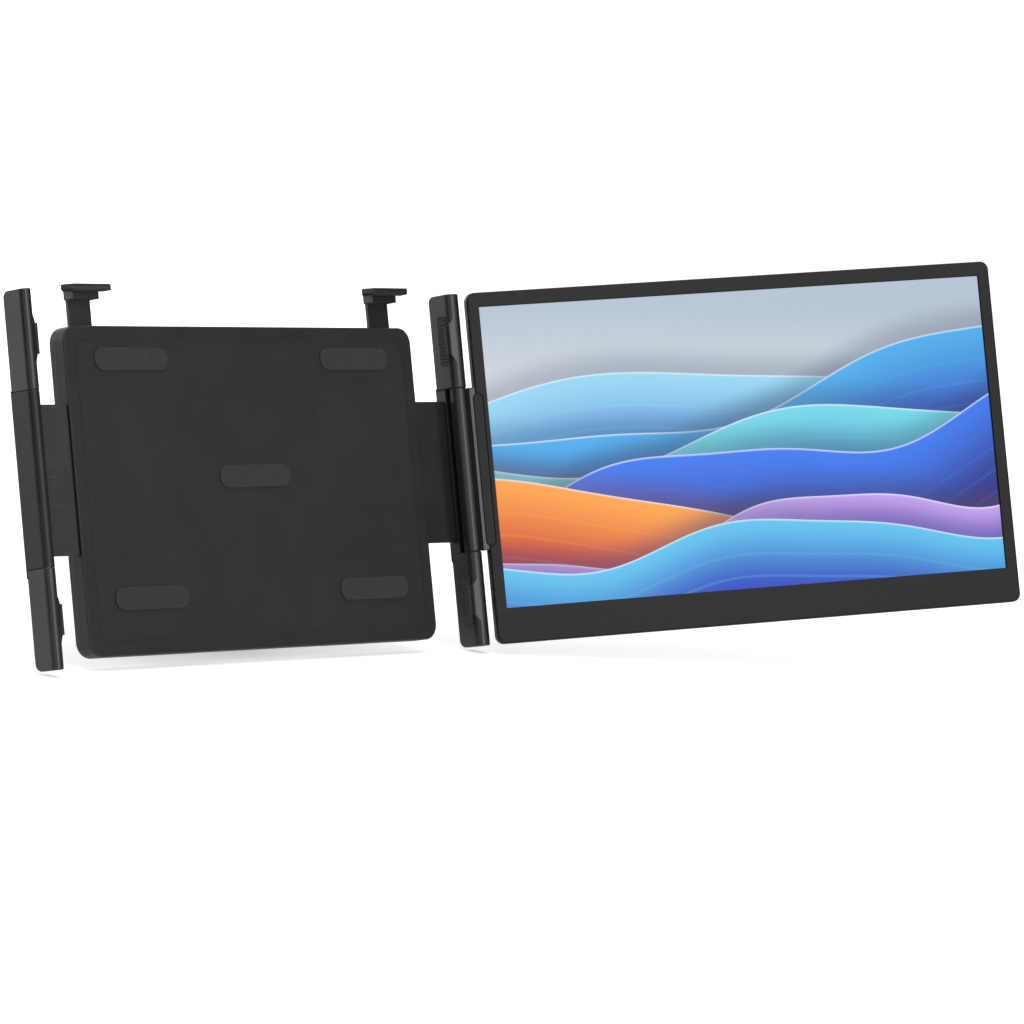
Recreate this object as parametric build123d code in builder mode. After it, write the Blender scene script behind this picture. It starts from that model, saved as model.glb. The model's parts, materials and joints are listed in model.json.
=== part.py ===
"""Laptop screen extender: a bracket that clamps round a laptop lid and swings out a second screen.

All pieces are modelled upright, with the screen in line with the bracket: X runs to the right, Y to the
rear and Z up along the lid. The origin is the middle of the face that the back of the lid rests against.
Each finished piece is then turned to its place in use: the whole leans back, the screen swings forward
about its hinge and the rear leg opens. Sizes are in millimetres, angles in degrees.
"""
from build123d import *
import math
import os

# ---- pose in use -------------------------------------------------------------------------------------
LEAN = 15.09                # how far the lid, and so the bracket, leans back
SWING = 29.75               # screen swung forward of the bracket's plane
LEG_OPEN = 42.2             # rear leg opened from its recess

# ---- fits and gaps -----------------------------------------------------------------------------------
RUN = 0.2                   # gap beside flat pieces that slide
SEAT = 0.05                 # gap round flat pieces that are fixed in a pocket
SHAFT_FIT = 0.03            # radial clearance of a turning shaft
GAP = 0.3                   # gap between a moulding and what moves past it

# ---- side bars ---------------------------------------------------------------------------------------
BAR_INNER = 174.4           # inner face of the bars from the middle of the bracket, arms pulled out alike
LEFT_PULL = 3.9             # left arm pulled out this much further than the right one
LEFT_BAR_R = 4.3            # radius of the rounded front edge, half the bar's width
RIGHT_BAR_R = 5.5
AXIS_Y = -6.0               # hinge line in front of the lid's back
BAR_BACK = 7.7              # rear face of the bars
BAR_HALF = 112.5            # half the height of a bar
MID_HALF = 52.5             # half the height of its middle section
TOP_CORNER = 4.0            # rear corner at the upper end
FOOT_CORNER = 5.0           # rear corner at the lower end
BAR_EDGE = 0.7              # rounding of the remaining edges
SPINE_FRONT = 0.1           # front of the web behind the middle section
SPINE_W = 5.5               # width of that web, on the inner side
RIB_T = 1.6                 # flat rib on the rear of the middle section
RIB_OVER = 5.0              # rib past the middle section at its lower end
RIB_OVER_TOP = 1.0          # and at its upper end
RIB_BEVEL = 1.2

# lugs and rubber pads that hold the edge of the lid
LUG_Z = 83.0                # height of each lug above and below the middle
LUG_LONG = 31.0             # lug where it leaves the bar
LUG_SHORT = 18.4            # lug at its shoulder and tip
LUG_ANGLE = 26.0            # slope of the lug's front, which leaves the rounded edge as a tangent
LUG_FACE = 3.9              # length of that front
LUG_SINK = 0.04             # start of the lug inside the rounded edge
LUG_REACH = 1.3             # tip of the lug past the bar's inner face
LUG_FLOOR = 1.3             # underside of the lug in front of the hinge line
LUG_BEVEL = 0.35            # bevel along its shoulder
LID_T = 6.0                 # thickness of the lid
PAD_T = 0.85                # rubber beside the lid
PAD_LIP = 3.5               # rubber lip over the lid's front edge, from the bar
PAD_LIP_LOW = 0.2           # rear of that lip in front of the hinge line
PAD_REAR = 0.5              # rubber past the back of the lid

# ---- telescopic arms ---------------------------------------------------------------------------------
ARM_T = 3.0
ARM_HALF = 45.0             # half the height of an arm
ARM_FRONT = 2.8             # front face of the arms
ARM_IN = 62.0               # inner end of an arm from the middle
ARM_GRIP = 4.5              # arm inside its bar
ARM_TRAVEL = 25.0           # slide each way
POST_R = 2.5                # posts that stop the arm in its slots
POST_X = 105.0
POST_Z = 28.0
ARM_ROUND = 3.0             # inner corners of the arms
ARM_SCREW_Z = (-30.0, 0.0, 30.0)
SCREW_R = 1.25              # M2.5 screws
SCREW_HEAD_R = 2.4

# ---- back panel --------------------------------------------------------------------------------------
PANEL_HALF_W = 148.0
PANEL_LOW = -106.0
PANEL_TOP = 92.0
PANEL_FRONT = 1.0           # front skin, behind the rubber strips
PANEL_REAR = 15.0
PANEL_R = 10.0              # corners seen from the front
PANEL_FRONT_ROUND = 1.0
PANEL_REAR_ROUND = 2.5
SKIN = 1.6                  # thickness of the skins
RIM = 2.0                   # thickness of the side walls
SPLIT_Y = 8.0               # seam between the two shells
STRIP_W = 60.0              # rubber strips on the front
STRIP_H = 14.0
STRIP_IN = 53.0             # middle of an outer strip from the panel's edge
STRIP_Z = 72.0
PANEL_SCREW_IN = 6.0        # screws from the panel's edges
PANEL_SCREW_X = 72.0        # inner screws from the middle
PANEL_SCREW_SINK = 2.0      # depth of their counterbores
PANEL_HEAD_T = 1.5
PANEL_HEX = 1.0             # radius of the hexagon socket
PANEL_HEX_DEPTH = 1.0
SCREW_END = 0.5             # free depth past the end of a screw
BOSS_R = 3.0
RETAINER_T = 1.0
RETAINER_END = 2.0          # gap from the retainer to the side walls
RETAINER_OVER = 1.3         # retainer past the rails
RETAINER_HEAD_T = 0.9
GUIDE_H = 3.5               # plastic rails above and below the arms
BRAKE_X = 80.0
BRAKE_W = 20.0
BRAKE_H = 40.0
BRAKE_GAP = 0.05            # brake pad to arm
SPRING_T = 0.5
SPRING_IN = 2.0             # leaf spring narrower than its pad, each side
SPRING_OVER = 8.0           # and longer, each end

# ---- top clips ---------------------------------------------------------------------------------------
CLIP_IN = 20.8              # middle of a clip from the panel's edge
CLIP_PLATE_TOP = 116.3
CLIP_PLATE_T = 3.1
CLIP_TOP_T = 1.3            # square-edged upper layer of the hook
CLIP_GROOVE = 0.3           # groove under it
CLIP_FRONT_HALF = 14.6      # half width of the hook's front edge
CLIP_HALF = 19.8            # half width of the hook behind its cut corners
CLIP_SIDE = 1.2             # length of its straight sides
CLIP_REAR_HALF = 10.5       # half width of its rear edge
CLIP_UNDERCUT = 1.5         # slope of the hook's lower edge
CLIP_PAD_T = 0.9
CLIP_PAD_FRONT = -4.4
CLIP_HEAD_FRONT = 0.5       # gap from the lid's back to the block that carries the hook
CLIP_HEAD_LOW = 108.0       # underside of that block
CLIP_ROUND = 0.4
CLIP_HEAD_ROUND = 0.6
TONGUE_HALF = 9.0           # half width of the slider
TONGUE_T = 2.0
TONGUE_LOW = 42.0
CHANNEL_T = 2.0
CHANNEL_LOW = 26.0

# ---- rear leg ----------------------------------------------------------------------------------------
LEG_HALF_W = 54.0
LEG_T = 3.6
LEG_PIVOT_Z = 16.0
LEG_LENGTH = 138.0
LEG_FOOT = 7.0              # rubber at the free end
LEG_PIN_R = 1.2
LEG_PIN_OUT = 4.0           # pin past each side of the leg
RECESS_FLOOR = 9.4          # front of the recess floor
RECESS_SIDE = 1.0           # gap beside the leg
LEG_GRIP_W = 26.0           # finger scoop in the end of the recess
LEG_GRIP_H = 12.0
LEG_PANEL_SIDE = 10.0       # margins of the shallow panel in the leg's rear face
LEG_PANEL_TOP = 24.0
LEG_PANEL_LOW = 20.0
LEG_PANEL_R = 6.0
LEG_PANEL_DEPTH = 0.8
LEG_END_BEVEL = 0.6
FOOT_ROUND = 0.8
FOOT_CORNER_IN = 1.0        # straight part left beside the foot's round corners

# ---- screen ------------------------------------------------------------------------------------------
SCREEN_FACE = 5.0           # front of the screen before the hinge line
SCREEN_T = 9.0
SCREEN_EDGE = 9.8           # hinge line to the edge of the screen
SCREEN_CORNER = 5.5
SCREEN_ROUND = 1.5          # rounding of the front edge
REAR_ROUND = 3.0            # rounding of the rear edge
ACTIVE_W = 344.2            # 15.6 inch diagonal, 16:9
ACTIVE_H = 193.6
BEZEL_SIDE = 7.8
CHIN = 22.3
TOP_BEZEL = 9.1
FACE_T = 1.5                # thickness of the bezel's face
WALL = 1.6
BEZEL_DEPTH = 3.0           # front face to the seam
GLASS_T = 1.0
BACKLIGHT_T = 1.6
LCD_BORDER = 2.5
LAYER = 0.1                 # gap between the bezel and the glass
REAR_SKIN = 1.5
CASE_SCREW_R = 1.0
CASE_SCREW_HEAD_R = 1.9
CASE_BOSS_R = 2.2
CASE_SCREW_FIRST = 30.0     # first screw from the hinge side
CASE_SCREW_LAST = 15.0      # last screw from the far side
CASE_SCREW_COUNT = 4
CASE_SCREW_DOWN = 4.2       # upper screws from the top edge
CASE_SCREW_UP = 8.5         # lower screws from the bottom edge
CASE_SCREW_SINK = 0.9
CASE_HEAD_T = 0.7
CASE_SCREW_IN = 1.0         # thread inside the bezel's bosses

# ---- screen hinge ------------------------------------------------------------------------------------
WASHER_T = 0.5
KNUCKLE_PLAY = 0.1
KNUCKLE_HALF = MID_HALF - WASHER_T - KNUCKLE_PLAY
PIN_R = 2.0
PIN_IN_BAR = 12.0           # pin inside each end section of the bar
PIN_SEAT = 0.01
BUSH_R = 3.0
BUSH_L = 10.0
LEAF_U = 5.6                # left edge of the leaf from the hinge line
LEAF_ROUND = 0.5
WEB_FRONT = 2.5             # bridge between barrel and leaf, in front of the hinge line
WEB_REAR = 3.0              # and behind it
FLAP_END = 14.6             # flap inside the screen
FLAP_HALF = 48.0
FLAP_FRONT = 2.8
FLAP_REAR = 0.5
COVER_U = 11.4              # middle of the long rounded cover
COVER_Z = -0.8
COVER_W = 6.9
COVER_LONG = 98.0
COVER_T = 1.0
COVER_GROOVE = 0.35
FLAP_SCREW_U = 13.2
FLAP_SCREW_Z = (-34.0, 0.0, 34.0)
FLAP_HEAD_R = 1.7
FLAP_HEAD_T = 0.5
FLAP_SCREW_IN = 1.5         # thread inside the rear cover's bosses
COVER_ROUND = 0.3
PIN_BEVEL = 0.3
WASHER_IN = 0.6             # washers smaller than the barrel

# ---- electronics in the screen -----------------------------------------------------------------------
BOARD_W = 62.0
BOARD_H = 72.0
BOARD_T = 1.0
BOARD_UP = 11.5             # board from the bottom edge
BOARD_SIDE = 1.0            # board from the side wall
BOARD_HOLE_IN = 7.0         # standoffs from the board's edges
BOARD_STANDOFF = 1.1
STANDOFF_R = 2.4
PORT_T = 3.2                # height of every socket
USB_W = 8.94
USB_DEPTH = 7.3
USB_FROM_BOARD = (-21.0, -3.0)
HDMI_W = 11.2
HDMI_DEPTH = 7.6
HDMI_FROM_BOARD = 17.0
SOCKET_WALL = 0.3
SOCKET_TONGUE = 0.7
SOCKET_IN = 0.2             # sockets short of the case's outer face
SOCKET_FLOOR = 1.0
USB_TONGUE_SIDE = 1.1       # tongue narrower than the mouth, each side
HDMI_TONGUE_SIDE = 1.2
CHIP_T = 0.9
CHIPS = ((30.0, 0.0, 14.0, 14.0), (48.0, 18.0, 7.0, 9.0), (48.0, -16.0, 7.0, 9.0), (24.0, -22.0, 6.0, 6.0))
PORT_GAP = 0.15             # case opening round a socket
BUTTON_FIRST = 10.0
BUTTON_PITCH = 16.0
BUTTON_ROUND = 0.25
BUTTON_LONG = 8.0
BUTTON_W = 2.6
BUTTON_PROUD = 0.6
BUTTON_FLANGE = 0.8
BUTTON_FLANGE_OVER = 0.8
BUTTON_TRAVEL = 0.4
SWITCH_LONG = 6.0
SWITCH_DEPTH = 3.5
KEY_BOARD_T = 1.0
KEY_BOARD_EXTRA = 6.0

# ---- values that follow ------------------------------------------------------------------------------
ARM_BACK = ARM_FRONT + ARM_T
ARM_END = BAR_INNER + ARM_GRIP
ARM_SCREW_X = BAR_INNER + ARM_GRIP / 2
POSTS = [(x, z) for x in (-POST_X, POST_X) for z in (-POST_Z, POST_Z)]
RIB_BACK = BAR_BACK + RIB_T
PANEL_MID_Z = (PANEL_LOW + PANEL_TOP) / 2
PANEL_H = PANEL_TOP - PANEL_LOW
PANEL_SCREWS = [
    (x, z)
    for x in (PANEL_SCREW_IN - PANEL_HALF_W, -PANEL_SCREW_X, PANEL_SCREW_X, PANEL_HALF_W - PANEL_SCREW_IN)
    for z in (PANEL_LOW + PANEL_SCREW_IN, PANEL_TOP - PANEL_SCREW_IN)
]
PANEL_HEAD_Y = PANEL_REAR - PANEL_SCREW_SINK
STRIP_X = PANEL_HALF_W - STRIP_IN
CLIP_X = PANEL_HALF_W - CLIP_IN
RETAINER_HALF_W = PANEL_HALF_W - RIM - RETAINER_END
RETAINER_HALF_H = ARM_HALF + RUN + GUIDE_H + RETAINER_OVER
RETAINER_FRONT = ARM_BACK + RUN
RETAINER_BACK = RETAINER_FRONT + RETAINER_T
TONGUE_FRONT = RETAINER_BACK + RUN
TONGUE_BACK = TONGUE_FRONT + TONGUE_T
CLIP_PLATE_LOW = CLIP_PLATE_TOP - CLIP_PLATE_T
CLIP_FRONT = -LID_T
CLIP_PAD_LOW = CLIP_PLATE_LOW - CLIP_PAD_T
RECESS_BACK = RECESS_FLOOR + SKIN - RUN
LEG_FRONT = PANEL_REAR - LEG_T
LEG_PIVOT_Y = PANEL_REAR - LEG_T / 2
RECESS_HALF = LEG_HALF_W + RECESS_SIDE
RECESS_TOP = LEG_PIVOT_Z + LEG_T / 2 + 2 * RUN
HINGE_X = BAR_INNER + RIGHT_BAR_R
SCREEN_W = ACTIVE_W + 2 * BEZEL_SIDE
SCREEN_HALF_H = (CHIN + ACTIVE_H + TOP_BEZEL) / 2
FACE_Y = AXIS_Y - SCREEN_FACE
BACK_Y = FACE_Y + SCREEN_T
SEAM_Y = FACE_Y + BEZEL_DEPTH
SCREEN_LEFT = HINGE_X + SCREEN_EDGE
SCREEN_RIGHT = SCREEN_LEFT + SCREEN_W
SCREEN_MID = (SCREEN_LEFT + SCREEN_RIGHT) / 2
ACTIVE_MID_Z = -SCREEN_HALF_H + CHIN + ACTIVE_H / 2
GLASS_FRONT = FACE_Y + FACE_T + LAYER
GLASS_BACK = GLASS_FRONT + GLASS_T
BACKLIGHT_BACK = GLASS_BACK + BACKLIGHT_T
REAR_INNER = BACK_Y - REAR_SKIN
CASE_RIGHT = SCREEN_RIGHT - WALL
BOARD_BACK = REAR_INNER - BOARD_STANDOFF
BOARD_FRONT = BOARD_BACK - BOARD_T
BOARD_RIGHT = CASE_RIGHT - BOARD_SIDE
BOARD_Z = -SCREEN_HALF_H + BOARD_UP + BOARD_H / 2
USB_Z = [BOARD_Z + offset for offset in USB_FROM_BOARD]
HDMI_Z = BOARD_Z + HDMI_FROM_BOARD
SOCKET_MOUTH = SCREEN_RIGHT - SOCKET_IN
PORT_BACK = REAR_INNER
PORT_FRONT = PORT_BACK - PORT_T
BUTTON_Y = (PORT_FRONT + PORT_BACK) / 2
BUTTON_Z = [BUTTON_FIRST + n * BUTTON_PITCH for n in range(3)]
CASE_SCREW_RUN = SCREEN_W - CASE_SCREW_FIRST - CASE_SCREW_LAST
CASE_SCREWS = [
    (SCREEN_LEFT + CASE_SCREW_FIRST + n * CASE_SCREW_RUN / (CASE_SCREW_COUNT - 1), z)
    for n in range(CASE_SCREW_COUNT)
    for z in (CASE_SCREW_UP - SCREEN_HALF_H, SCREEN_HALF_H - CASE_SCREW_DOWN)
]
CASE_HEAD_Y = BACK_Y - CASE_SCREW_SINK
COVER_Y = AXIS_Y - SCREEN_FACE
BUSH_PLACES = [(HINGE_X, AXIS_Y, end * (KNUCKLE_HALF - BUSH_L / 2)) for end in (-1, 1)]

# ---- turning the finished pieces to their place in use -----------------------------------------------
LEANED = Location((0, 0, 0), (-LEAN, 0, 0))
PULLED = LEANED * Location((-LEFT_PULL, 0, 0))
SWUNG = LEANED * Location((HINGE_X, AXIS_Y, 0), (0, 0, -SWING)) * Location((-HINGE_X, -AXIS_Y, 0))
OPENED = LEANED * Location((0, LEG_PIVOT_Y, LEG_PIVOT_Z), (LEG_OPEN, 0, 0))
OPENED = OPENED * Location((0, -LEG_PIVOT_Y, -LEG_PIVOT_Z))

# ---- working planes ----------------------------------------------------------------------------------
def facing_front(y):
    """Plane at depth y, seen from the front: its sketch X is X and its sketch Y is Z."""
    return Plane.XZ.offset(-y)


def facing_rear(y):
    """Plane at depth y whose normal points to the rear: its sketch X is -X and its sketch Y is Z."""
    return Plane(origin=(0, y, 0), x_dir=(-1, 0, 0), z_dir=(0, 1, 0))


def facing_right(x):
    """Plane at x whose normal points to the right: its sketch X is Y and its sketch Y is Z."""
    return Plane.YZ.offset(x)


def sin_deg(angle):
    """Sine of an angle in degrees."""
    return math.sin(math.radians(angle))


def cos_deg(angle):
    """Cosine of an angle in degrees."""
    return math.cos(math.radians(angle))


def block(x, y, z, mode=Mode.ADD):
    """Add or cut a box given by its low and high limits along each axis."""
    with Locations(((x[0] + x[1]) / 2, (y[0] + y[1]) / 2, (z[0] + z[1]) / 2)):
        Box(x[1] - x[0], y[1] - y[0], z[1] - z[0], mode=mode)


def across(low, high, side):
    """Limits along X of something on the right bar, mirrored for the left one."""
    return tuple(sorted((side * low, side * high)))


# ---- side bars ---------------------------------------------------------------------------------------
def bar_outline(side, radius):
    """Section of a bar: a slab whose front edge is a half circle about the hinge line."""
    axis_x = side * (BAR_INNER + radius)
    with Locations((axis_x, AXIS_Y)):
        Circle(radius)
    with Locations((axis_x, (AXIS_Y + BAR_BACK) / 2)):
        Rectangle(2 * radius, BAR_BACK - AXIS_Y)


def bar_lug(side, radius, height):
    """A lug that leaves a bar's rounded edge as a tangent and narrows to its shoulder."""
    axis_x = side * (BAR_INNER + radius)
    start = (radius - LUG_SINK) * sin_deg(LUG_ANGLE), (radius - LUG_SINK) * cos_deg(LUG_ANGLE)
    shoulder = start[0] + LUG_FACE * cos_deg(LUG_ANGLE), start[1] - LUG_FACE * sin_deg(LUG_ANGLE)
    tip = radius + LUG_REACH
    with BuildPart() as lug:
        with BuildSketch(Plane.XY.offset(height - LUG_LONG / 2)):
            with BuildLine():
                Polyline(
                    (axis_x - side * start[0], AXIS_Y - start[1]),
                    (axis_x - side * shoulder[0], AXIS_Y - shoulder[1]),
                    (axis_x - side * tip, AXIS_Y - LUG_FLOOR),
                    (axis_x - side * start[0], AXIS_Y - LUG_FLOOR),
                    close=True,
                )
            make_face()
        extrude(amount=LUG_LONG)
        for end in (-1, 1):
            with BuildSketch(Plane.XZ.offset(-AXIS_Y)):
                with BuildLine():
                    Polyline(
                        (axis_x - side * start[0], height + end * LUG_LONG / 2),
                        (axis_x - side * shoulder[0], height + end * LUG_SHORT / 2),
                        (axis_x - side * 2 * tip, height + end * LUG_SHORT / 2),
                        (axis_x - side * 2 * tip, height + end * LUG_LONG),
                        (axis_x - side * start[0], height + end * LUG_LONG),
                        close=True,
                    )
                make_face()
            extrude(amount=radius, mode=Mode.SUBTRACT)
        outline = lug.faces().sort_by(Axis.Y)[0].edges().sort_by(Axis.X)
        chamfer(outline[0] if side > 0 else outline[-1], LUG_BEVEL)
    return lug


def side_bar(side, radius):
    """A bar: two end sections joined by a web and a rib behind the middle section."""
    axis_x = side * (BAR_INNER + radius)
    lugs = [bar_lug(side, radius, height) for height in (-LUG_Z, LUG_Z)]
    with BuildPart() as bar:
        for low, high in ((-BAR_HALF, -MID_HALF), (MID_HALF, BAR_HALF)):
            with BuildSketch(Plane.XY.offset(low)):
                bar_outline(side, radius)
            extrude(amount=high - low)
        across_edges = bar.edges().filter_by(Axis.X)
        fillet(across_edges.group_by(Axis.Z)[-1].sort_by(Axis.Y)[-1], TOP_CORNER)
        fillet(across_edges.group_by(Axis.Z)[0].sort_by(Axis.Y)[-1], FOOT_CORNER)
        for end_face in (bar.faces().sort_by(Axis.Z)[-1], bar.faces().sort_by(Axis.Z)[0]):
            fillet(end_face.edges().filter_by(Axis.X, reverse=True), BAR_EDGE)
        # web and rib behind the middle section
        block(across(BAR_INNER, BAR_INNER + SPINE_W, side), (SPINE_FRONT, BAR_BACK), (-MID_HALF, MID_HALF))
        rib_span = (-MID_HALF - RIB_OVER, MID_HALF + RIB_OVER_TOP)
        block(across(BAR_INNER, BAR_INNER + 2 * radius, side), (BAR_BACK, RIB_BACK), rib_span)
        chamfer(bar.faces().sort_by(Axis.Y)[-1].edges(), RIB_BEVEL)
        # lugs in front of the lid's edge
        for lug in lugs:
            add(lug.part)
        # pocket for the arm, screws through the rib and bore for the pin
        block(
            across(BAR_INNER, ARM_END + SEAT, side),
            (ARM_FRONT - SEAT, ARM_BACK + SEAT),
            (-ARM_HALF - SEAT, ARM_HALF + SEAT),
            mode=Mode.SUBTRACT,
        )
        with Locations(facing_rear(RIB_BACK)):
            with Locations(*[(-side * ARM_SCREW_X, z) for z in ARM_SCREW_Z]):
                CounterSinkHole(SCREW_R + SEAT, SCREW_HEAD_R, RIB_BACK - ARM_BACK)
        with Locations((axis_x, AXIS_Y, 0)):
            Cylinder(PIN_R + PIN_SEAT, 2 * (MID_HALF + PIN_IN_BAR), mode=Mode.SUBTRACT)
    return bar


def grip_pads(side):
    """Two rubber angles that line a bar's inner side behind its lugs."""
    with BuildPart() as pads:
        for height in (-LUG_Z, LUG_Z):
            limits = (height - LUG_LONG / 2, height + LUG_LONG / 2)
            tip = (height - LUG_SHORT / 2, height + LUG_SHORT / 2)
            block(across(BAR_INNER - PAD_T, BAR_INNER, side), (AXIS_Y - PAD_LIP_LOW, PAD_REAR), limits)
            lip = (AXIS_Y - LUG_FLOOR, AXIS_Y - PAD_LIP_LOW)
            block(across(BAR_INNER - PAD_LIP, BAR_INNER, side), lip, tip)
    return pads


def bar_pin(side, radius):
    """The pin along a bar's hinge line."""
    with BuildPart() as pin:
        with Locations((side * (BAR_INNER + radius), AXIS_Y, 0)):
            Cylinder(PIN_R, 2 * (MID_HALF + PIN_IN_BAR))
        chamfer(pin.edges().filter_by(GeomType.CIRCLE), PIN_BEVEL)
    return pin


def middle_cover(side, radius):
    """The moulding that fills a bar where the other one has its hinge."""
    web = (SPINE_FRONT - SEAT, BAR_BACK)
    with BuildPart() as cover:
        with BuildSketch(Plane.XY.offset(-MID_HALF + GAP)):
            bar_outline(side, radius)
            with Locations((side * (BAR_INNER + (SPINE_W + SEAT) / 2), sum(web) / 2)):
                Rectangle(SPINE_W + SEAT, web[1] - web[0], mode=Mode.SUBTRACT)
            with Locations((side * (BAR_INNER + radius), AXIS_Y)):
                Circle(PIN_R + PIN_SEAT, mode=Mode.SUBTRACT)
        extrude(amount=2 * (MID_HALF - GAP))
    return cover


# ---- telescopic arms ---------------------------------------------------------------------------------
def arm(side):
    """A flat arm with two slots that run over the panel's posts."""
    with BuildPart() as plate:
        block(across(ARM_IN, ARM_END, side), (ARM_FRONT, ARM_BACK), (-ARM_HALF, ARM_HALF))
        fillet(plate.edges().filter_by(Axis.Y).group_by(Axis.X)[0 if side > 0 else -1], ARM_ROUND)
        with BuildSketch(facing_rear(ARM_BACK)):
            with Locations((-side * POST_X, -POST_Z), (-side * POST_X, POST_Z)):
                SlotCenterToCenter(2 * ARM_TRAVEL + RUN, 2 * (POST_R + RUN))
            with Locations(*[(-side * ARM_SCREW_X, z) for z in ARM_SCREW_Z]):
                Circle(SCREW_R)
        extrude(amount=-ARM_T, mode=Mode.SUBTRACT)
    return plate


def arm_screws(side):
    """Three countersunk screws through the rib and the web into an arm."""
    length = RIB_BACK - ARM_FRONT
    with BuildPart() as screws:
        for height in ARM_SCREW_Z:
            with BuildSketch(Plane.XY.offset(height)):
                with BuildLine():
                    x = side * ARM_SCREW_X
                    head = SCREW_HEAD_R - SCREW_R
                    Polyline(
                        (x, RIB_BACK),
                        (x + SCREW_HEAD_R - SEAT, RIB_BACK),
                        (x + SCREW_R - SEAT, RIB_BACK - head),
                        (x + SCREW_R - SEAT, RIB_BACK - length),
                        (x, RIB_BACK - length),
                        close=True,
                    )
                make_face()
            revolve(axis=Axis((x, 0, height), (0, 1, 0)))
    return screws


# ---- back panel --------------------------------------------------------------------------------------
with BuildPart() as panel_front_shell:
    with BuildSketch(facing_front(PANEL_FRONT)):
        with Locations((0, PANEL_MID_Z)):
            RectangleRounded(2 * PANEL_HALF_W, PANEL_H, PANEL_R)
    extrude(amount=-(SPLIT_Y - PANEL_FRONT))
    fillet(panel_front_shell.faces().sort_by(Axis.Y)[0].edges(), PANEL_FRONT_ROUND)
    with BuildSketch(facing_front(PANEL_FRONT + SKIN)):
        with Locations((0, PANEL_MID_Z)):
            RectangleRounded(2 * (PANEL_HALF_W - RIM), PANEL_H - 2 * RIM, PANEL_R - RIM)
    extrude(amount=-(SPLIT_Y - PANEL_FRONT - SKIN), mode=Mode.SUBTRACT)
    # windows for the arms and the clips
    block(
        (-PANEL_HALF_W, PANEL_HALF_W),
        (PANEL_FRONT + SKIN, RETAINER_FRONT),
        (-ARM_HALF - RUN, ARM_HALF + RUN),
        mode=Mode.SUBTRACT,
    )
    for side in (-1, 1):
        block(
            across(CLIP_X - TONGUE_HALF - RUN, CLIP_X + TONGUE_HALF + RUN, side),
            (TONGUE_FRONT - RUN, SPLIT_Y),
            (PANEL_TOP - RIM, PANEL_TOP),
            mode=Mode.SUBTRACT,
        )
    # posts that carry the retainer and stop the arms, and bosses for the panel's screws
    with BuildSketch(facing_front(PANEL_FRONT + SKIN)):
        with Locations(*POSTS):
            Circle(POST_R)
    extrude(amount=-(RETAINER_FRONT - PANEL_FRONT - SKIN))
    with BuildSketch(facing_front(PANEL_FRONT + SKIN)):
        with Locations(*PANEL_SCREWS):
            Circle(BOSS_R)
    extrude(amount=-(SPLIT_Y - PANEL_FRONT - SKIN))
    with Locations(facing_rear(SPLIT_Y)):
        with Locations(*PANEL_SCREWS):
            Hole(SCREW_R, depth=SPLIT_Y - PANEL_FRONT - SKIN)
    with Locations(facing_rear(RETAINER_FRONT)):
        with Locations(*POSTS):
            Hole(CASE_SCREW_R, depth=ARM_T)

with BuildPart() as panel_rear_shell:
    with BuildSketch(facing_front(SPLIT_Y)):
        with Locations((0, PANEL_MID_Z)):
            RectangleRounded(2 * PANEL_HALF_W, PANEL_H, PANEL_R)
    extrude(amount=-(PANEL_REAR - SPLIT_Y))
    fillet(panel_rear_shell.faces().sort_by(Axis.Y)[-1].edges(), PANEL_REAR_ROUND)
    with BuildSketch(facing_front(SPLIT_Y)):
        with Locations((0, PANEL_MID_Z)):
            RectangleRounded(2 * (PANEL_HALF_W - RIM), PANEL_H - 2 * RIM, PANEL_R - RIM)
    extrude(amount=-(PANEL_REAR - SPLIT_Y - SKIN), mode=Mode.SUBTRACT)
    # walls and floor of the recess that the leg folds into
    recess_wall = (-RECESS_HALF - RIM, RECESS_HALF + RIM)
    block(recess_wall, (RECESS_FLOOR, PANEL_REAR - SKIN), (PANEL_LOW + RIM, RECESS_TOP + RIM))
    block((-RECESS_HALF, RECESS_HALF), (RECESS_BACK, PANEL_REAR), (PANEL_LOW, RECESS_TOP), mode=Mode.SUBTRACT)
    with BuildSketch(facing_front(RECESS_BACK)):
        with Locations((0, PANEL_LOW)):
            SlotOverall(LEG_GRIP_W, LEG_GRIP_H)
    extrude(amount=-(PANEL_REAR - RECESS_BACK), mode=Mode.SUBTRACT)
    with Locations(Location((0, LEG_PIVOT_Y, LEG_PIVOT_Z), (0, 90, 0))):
        Cylinder(LEG_PIN_R + PIN_SEAT, 2 * (LEG_HALF_W + LEG_PIN_OUT), mode=Mode.SUBTRACT)
    for side in (-1, 1):
        block(
            across(CLIP_X - TONGUE_HALF - RUN, CLIP_X + TONGUE_HALF + RUN, side),
            (SPLIT_Y, TONGUE_BACK + RUN),
            (PANEL_TOP - RIM, PANEL_TOP),
            mode=Mode.SUBTRACT,
        )
    # screw bosses
    with BuildSketch(facing_front(SPLIT_Y)):
        with Locations(*PANEL_SCREWS):
            Circle(BOSS_R)
    extrude(amount=-(PANEL_REAR - SPLIT_Y - SKIN))
    with Locations(facing_rear(PANEL_REAR)):
        with Locations(*[(-x, z) for x, z in PANEL_SCREWS]):
            CounterBoreHole(SCREW_R + SEAT, SCREW_HEAD_R + SEAT, PANEL_SCREW_SINK)

with BuildPart() as lid_strips:
    with BuildSketch(facing_front(PANEL_FRONT)):
        with Locations((0, 0), *[(x, z) for x in (-STRIP_X, STRIP_X) for z in (-STRIP_Z, STRIP_Z)]):
            SlotOverall(STRIP_W, STRIP_H)
    extrude(amount=PANEL_FRONT)

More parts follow.
